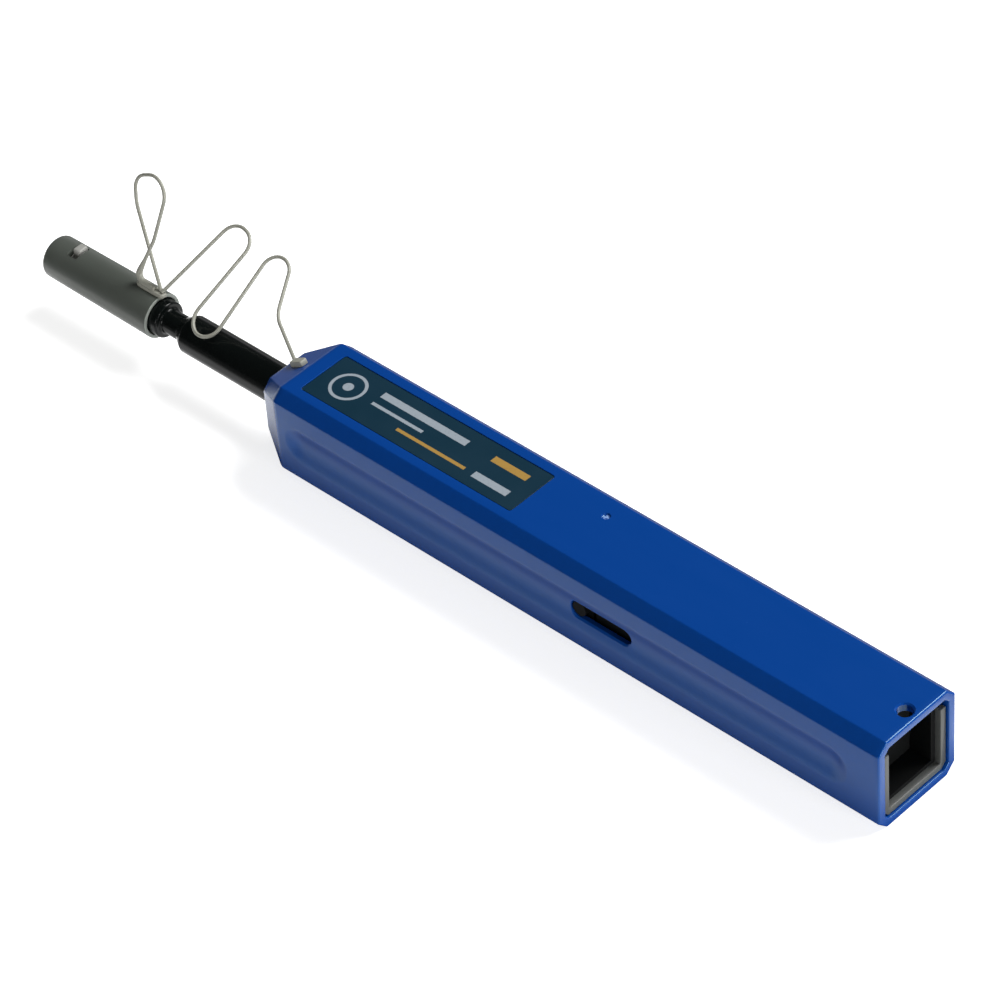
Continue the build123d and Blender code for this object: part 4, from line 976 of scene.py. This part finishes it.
class CLEANER_OT_stage(Operator):
    """Sets the pale floor, the soft lamps, the even sky and the camera"""

    bl_idname = "cleaner.stage"
    bl_label = "Stage"

    def execute(self, context):
        scene = context.scene
        stage = scene.cleaner_stage
        self.floor(stage)
        self.sky(scene, stage)
        self.lamp("key", (0.30, 0.85, 1.10), 0.75, stage.key)
        self.lamp("fill", (0.10, -1.37, 0.12), 0.5, stage.fill)
        self.lamp("rear", (1.30, -0.10, 0.10), 0.5, stage.rear)
        self.camera(scene, stage)
        scene.view_settings.view_transform = "Standard"
        return {"FINISHED"}

    def floor(self, stage):
        """Flat square, white to the camera and matt near-white to the lamps. In reflections it glows white in
        a strip beside, behind and ahead of the object, painted light, and is painted darker at the object's
        foot, a painted contact shadow, and far to either side, painted shade."""
        side = 3.0
        mesh = bpy.data.meshes.new("floor")
        corners = np.column_stack([SQUARE * side, np.zeros(4)])
        mesh.from_pydata(corners.tolist(), [], [[0, 1, 2, 3]])
        obj = linked("floor", mesh)
        obj.location.z = -0.02 * MM
        material, graph, shader = node_material("pale_floor")
        place = graph.place()
        tone = graph.mix(graph.noise(place, 3.0, 2.0), tinted([0.84] * 3), tinted([0.88] * 3))
        axes = graph.add("SeparateXYZ", Vector=place).outputs
        aside = graph.math("ABSOLUTE", axes["Y"])
        half, nose = SECTION / 2, HOUSING_LOW[0]
        foot = graph.ramp(axes["X"], nose - 1.5 * half, nose + 0.3 * half, -half, half)
        beside = graph.math("SUBTRACT", aside, foot)
        behind = graph.math("SUBTRACT", axes["X"], float(REAR))
        # In reflections the floor glows white in a strip, painted light, and is painted darker at the
        # object's foot, a painted contact shadow, and far aside, painted shade.
        rise = graph.ramp(graph.most(beside, behind), 0.0, 6.5 * MM)
        fall = graph.ramp(aside, half + 8.0 * MM, half + 21.0 * MM, 1.0, 0.1)
        strip = graph.times(rise, fall)
        rays = graph.add("LightPath").outputs
        mirrored = graph.most(rays["Is Glossy Ray"], rays["Is Transmission Ray"])
        reflection_shade = graph.times(mirrored, graph.math("SUBTRACT", 1.0, strip))
        glow = graph.times(graph.times(mirrored, strip), stage.mirror_glow)
        seen = graph.times(rays["Is Camera Ray"], stage.glow)
        graph.feed(shader, Base_Color=graph.mix(reflection_shade, tone, tinted([0.0] * 3)), Roughness=0.9,
                   Emission_Color=tinted([1.0] * 3), Emission_Strength=graph.math("ADD", glow, seen))
        obj.data.materials.append(material)

    def sky(self, scene, stage):
        """Even light. The camera sees white, and reflections see white low on the far side and dark
        elsewhere."""
        world = bpy.data.worlds.new("studio")
        world.use_nodes = True
        graph = Graph(world.node_tree)
        rays = graph.add("LightPath").outputs
        direction = graph.add("SeparateXYZ", Vector=graph.add("TexCoord").outputs["Generated"]).outputs
        low = graph.ramp(direction["Z"], 0.02, 0.30, 1.0, 0.0)
        far = graph.ramp(direction["Y"], -0.1, 0.3)
        mirrored = graph.most(rays["Is Glossy Ray"], rays["Is Transmission Ray"])
        direct = graph.most(mirrored, rays["Is Camera Ray"])
        lighting = graph.times(graph.math("SUBTRACT", 1.0, direct), stage.sky)
        dark = 0.03
        backdrop = graph.math("ADD", graph.times(low, far), dark)
        shown = graph.times(mirrored, backdrop)
        strength = graph.math("ADD", graph.math("ADD", lighting, shown), rays["Is Camera Ray"])
        background = graph.add("Background", Strength=strength)
        graph.add("OutputWorld", Surface=background.outputs[0])
        scene.world = world

    def lamp(self, name, place, size, power):
        """Square soft lamp aimed at the middle of the object."""
        data = bpy.data.lights.new(name, "AREA")
        data.shape = "SQUARE"
        data.size = size
        data.energy = power
        obj = linked(name, data)
        back = unit(np.array(place) - np.array([0, 0, AXIS_Z]))
        right = unit(np.cross([0, 0, 1], back))
        obj.matrix_world = self.placed(right, np.cross(back, right), back, place)

    def placed(self, right, up, back, place):
        """Matrix of an object at a place, which looks along the opposite of back."""
        matrix = np.eye(4)
        matrix[:3] = np.stack([right, up, back, place], 1)
        return Matrix(matrix.tolist())

    def camera(self, scene, stage):
        """Camera on a line from the target, at the photograph's azimuth, elevation and roll."""
        azimuth, elevation, roll = (math.radians(angle) for angle in (46.443, 41.991, -4.815))
        target, distance = mm(-25.93, 2.64, 9.5), 783.75 * MM
        level = np.array([math.cos(azimuth), math.sin(azimuth), 0])
        back = np.array([math.sin(azimuth), -math.cos(azimuth), 0]) * math.cos(elevation)
        back[2] = math.sin(elevation)
        upright = np.cross(back, level)
        right = math.cos(roll) * level + math.sin(roll) * upright
        up = math.cos(roll) * upright - math.sin(roll) * level
        data = bpy.data.cameras.new("camera")
        data.lens = stage.lens
        data.sensor_width = 36.0
        data.clip_start = 0.05
        data.clip_end = 20.0
        obj = linked("camera", data)
        obj.matrix_world = self.placed(right, up, back, target + back * distance)
        scene.camera = obj


STEPS = (
    CLEANER_OT_housing, CLEANER_OT_label, CLEANER_OT_nozzle, CLEANER_OT_cap, CLEANER_OT_tether,
    CLEANER_OT_springs, CLEANER_OT_rear_frame, CLEANER_OT_inner, CLEANER_OT_stage,
)


class CLEANER_PT_panel(Panel):
    """Lists the steps that dress the frame, and the sizes and colours that they use"""

    bl_idname = "CLEANER_PT_panel"
    bl_label = "Fibre connector cleaner"
    bl_space_type = "VIEW_3D"
    bl_region_type = "UI"
    bl_category = "Cleaner"

    def draw(self, context):
        column = self.layout.column(align=True)
        for step in STEPS:
            column.operator(step.bl_idname)
        scene = context.scene
        for group in (scene.cleaner_sizes, scene.cleaner_colours, scene.cleaner_stage):
            box = self.layout.box()
            for name in group.bl_rna.properties.keys():
                if name not in ("rna_type", "name"):
                    box.prop(group, name)


CLASSES = (CleanerSizes, CleanerColours, CleanerStage) + STEPS + (CLEANER_PT_panel,)


def register():
    for item in CLASSES:
        bpy.utils.register_class(item)
    bpy.types.Scene.cleaner_sizes = PointerProperty(type=CleanerSizes)
    bpy.types.Scene.cleaner_colours = PointerProperty(type=CleanerColours)
    bpy.types.Scene.cleaner_stage = PointerProperty(type=CleanerStage)


def unregister():
    for name in ("cleaner_sizes", "cleaner_colours", "cleaner_stage"):
        delattr(bpy.types.Scene, name)
    for item in reversed(CLASSES):
        bpy.utils.unregister_class(item)


def main():
    register()
    for step in STEPS:
        group, name = step.bl_idname.split(".")
        getattr(getattr(bpy.ops, group), name)()


if __name__ == "__main__":
    main()
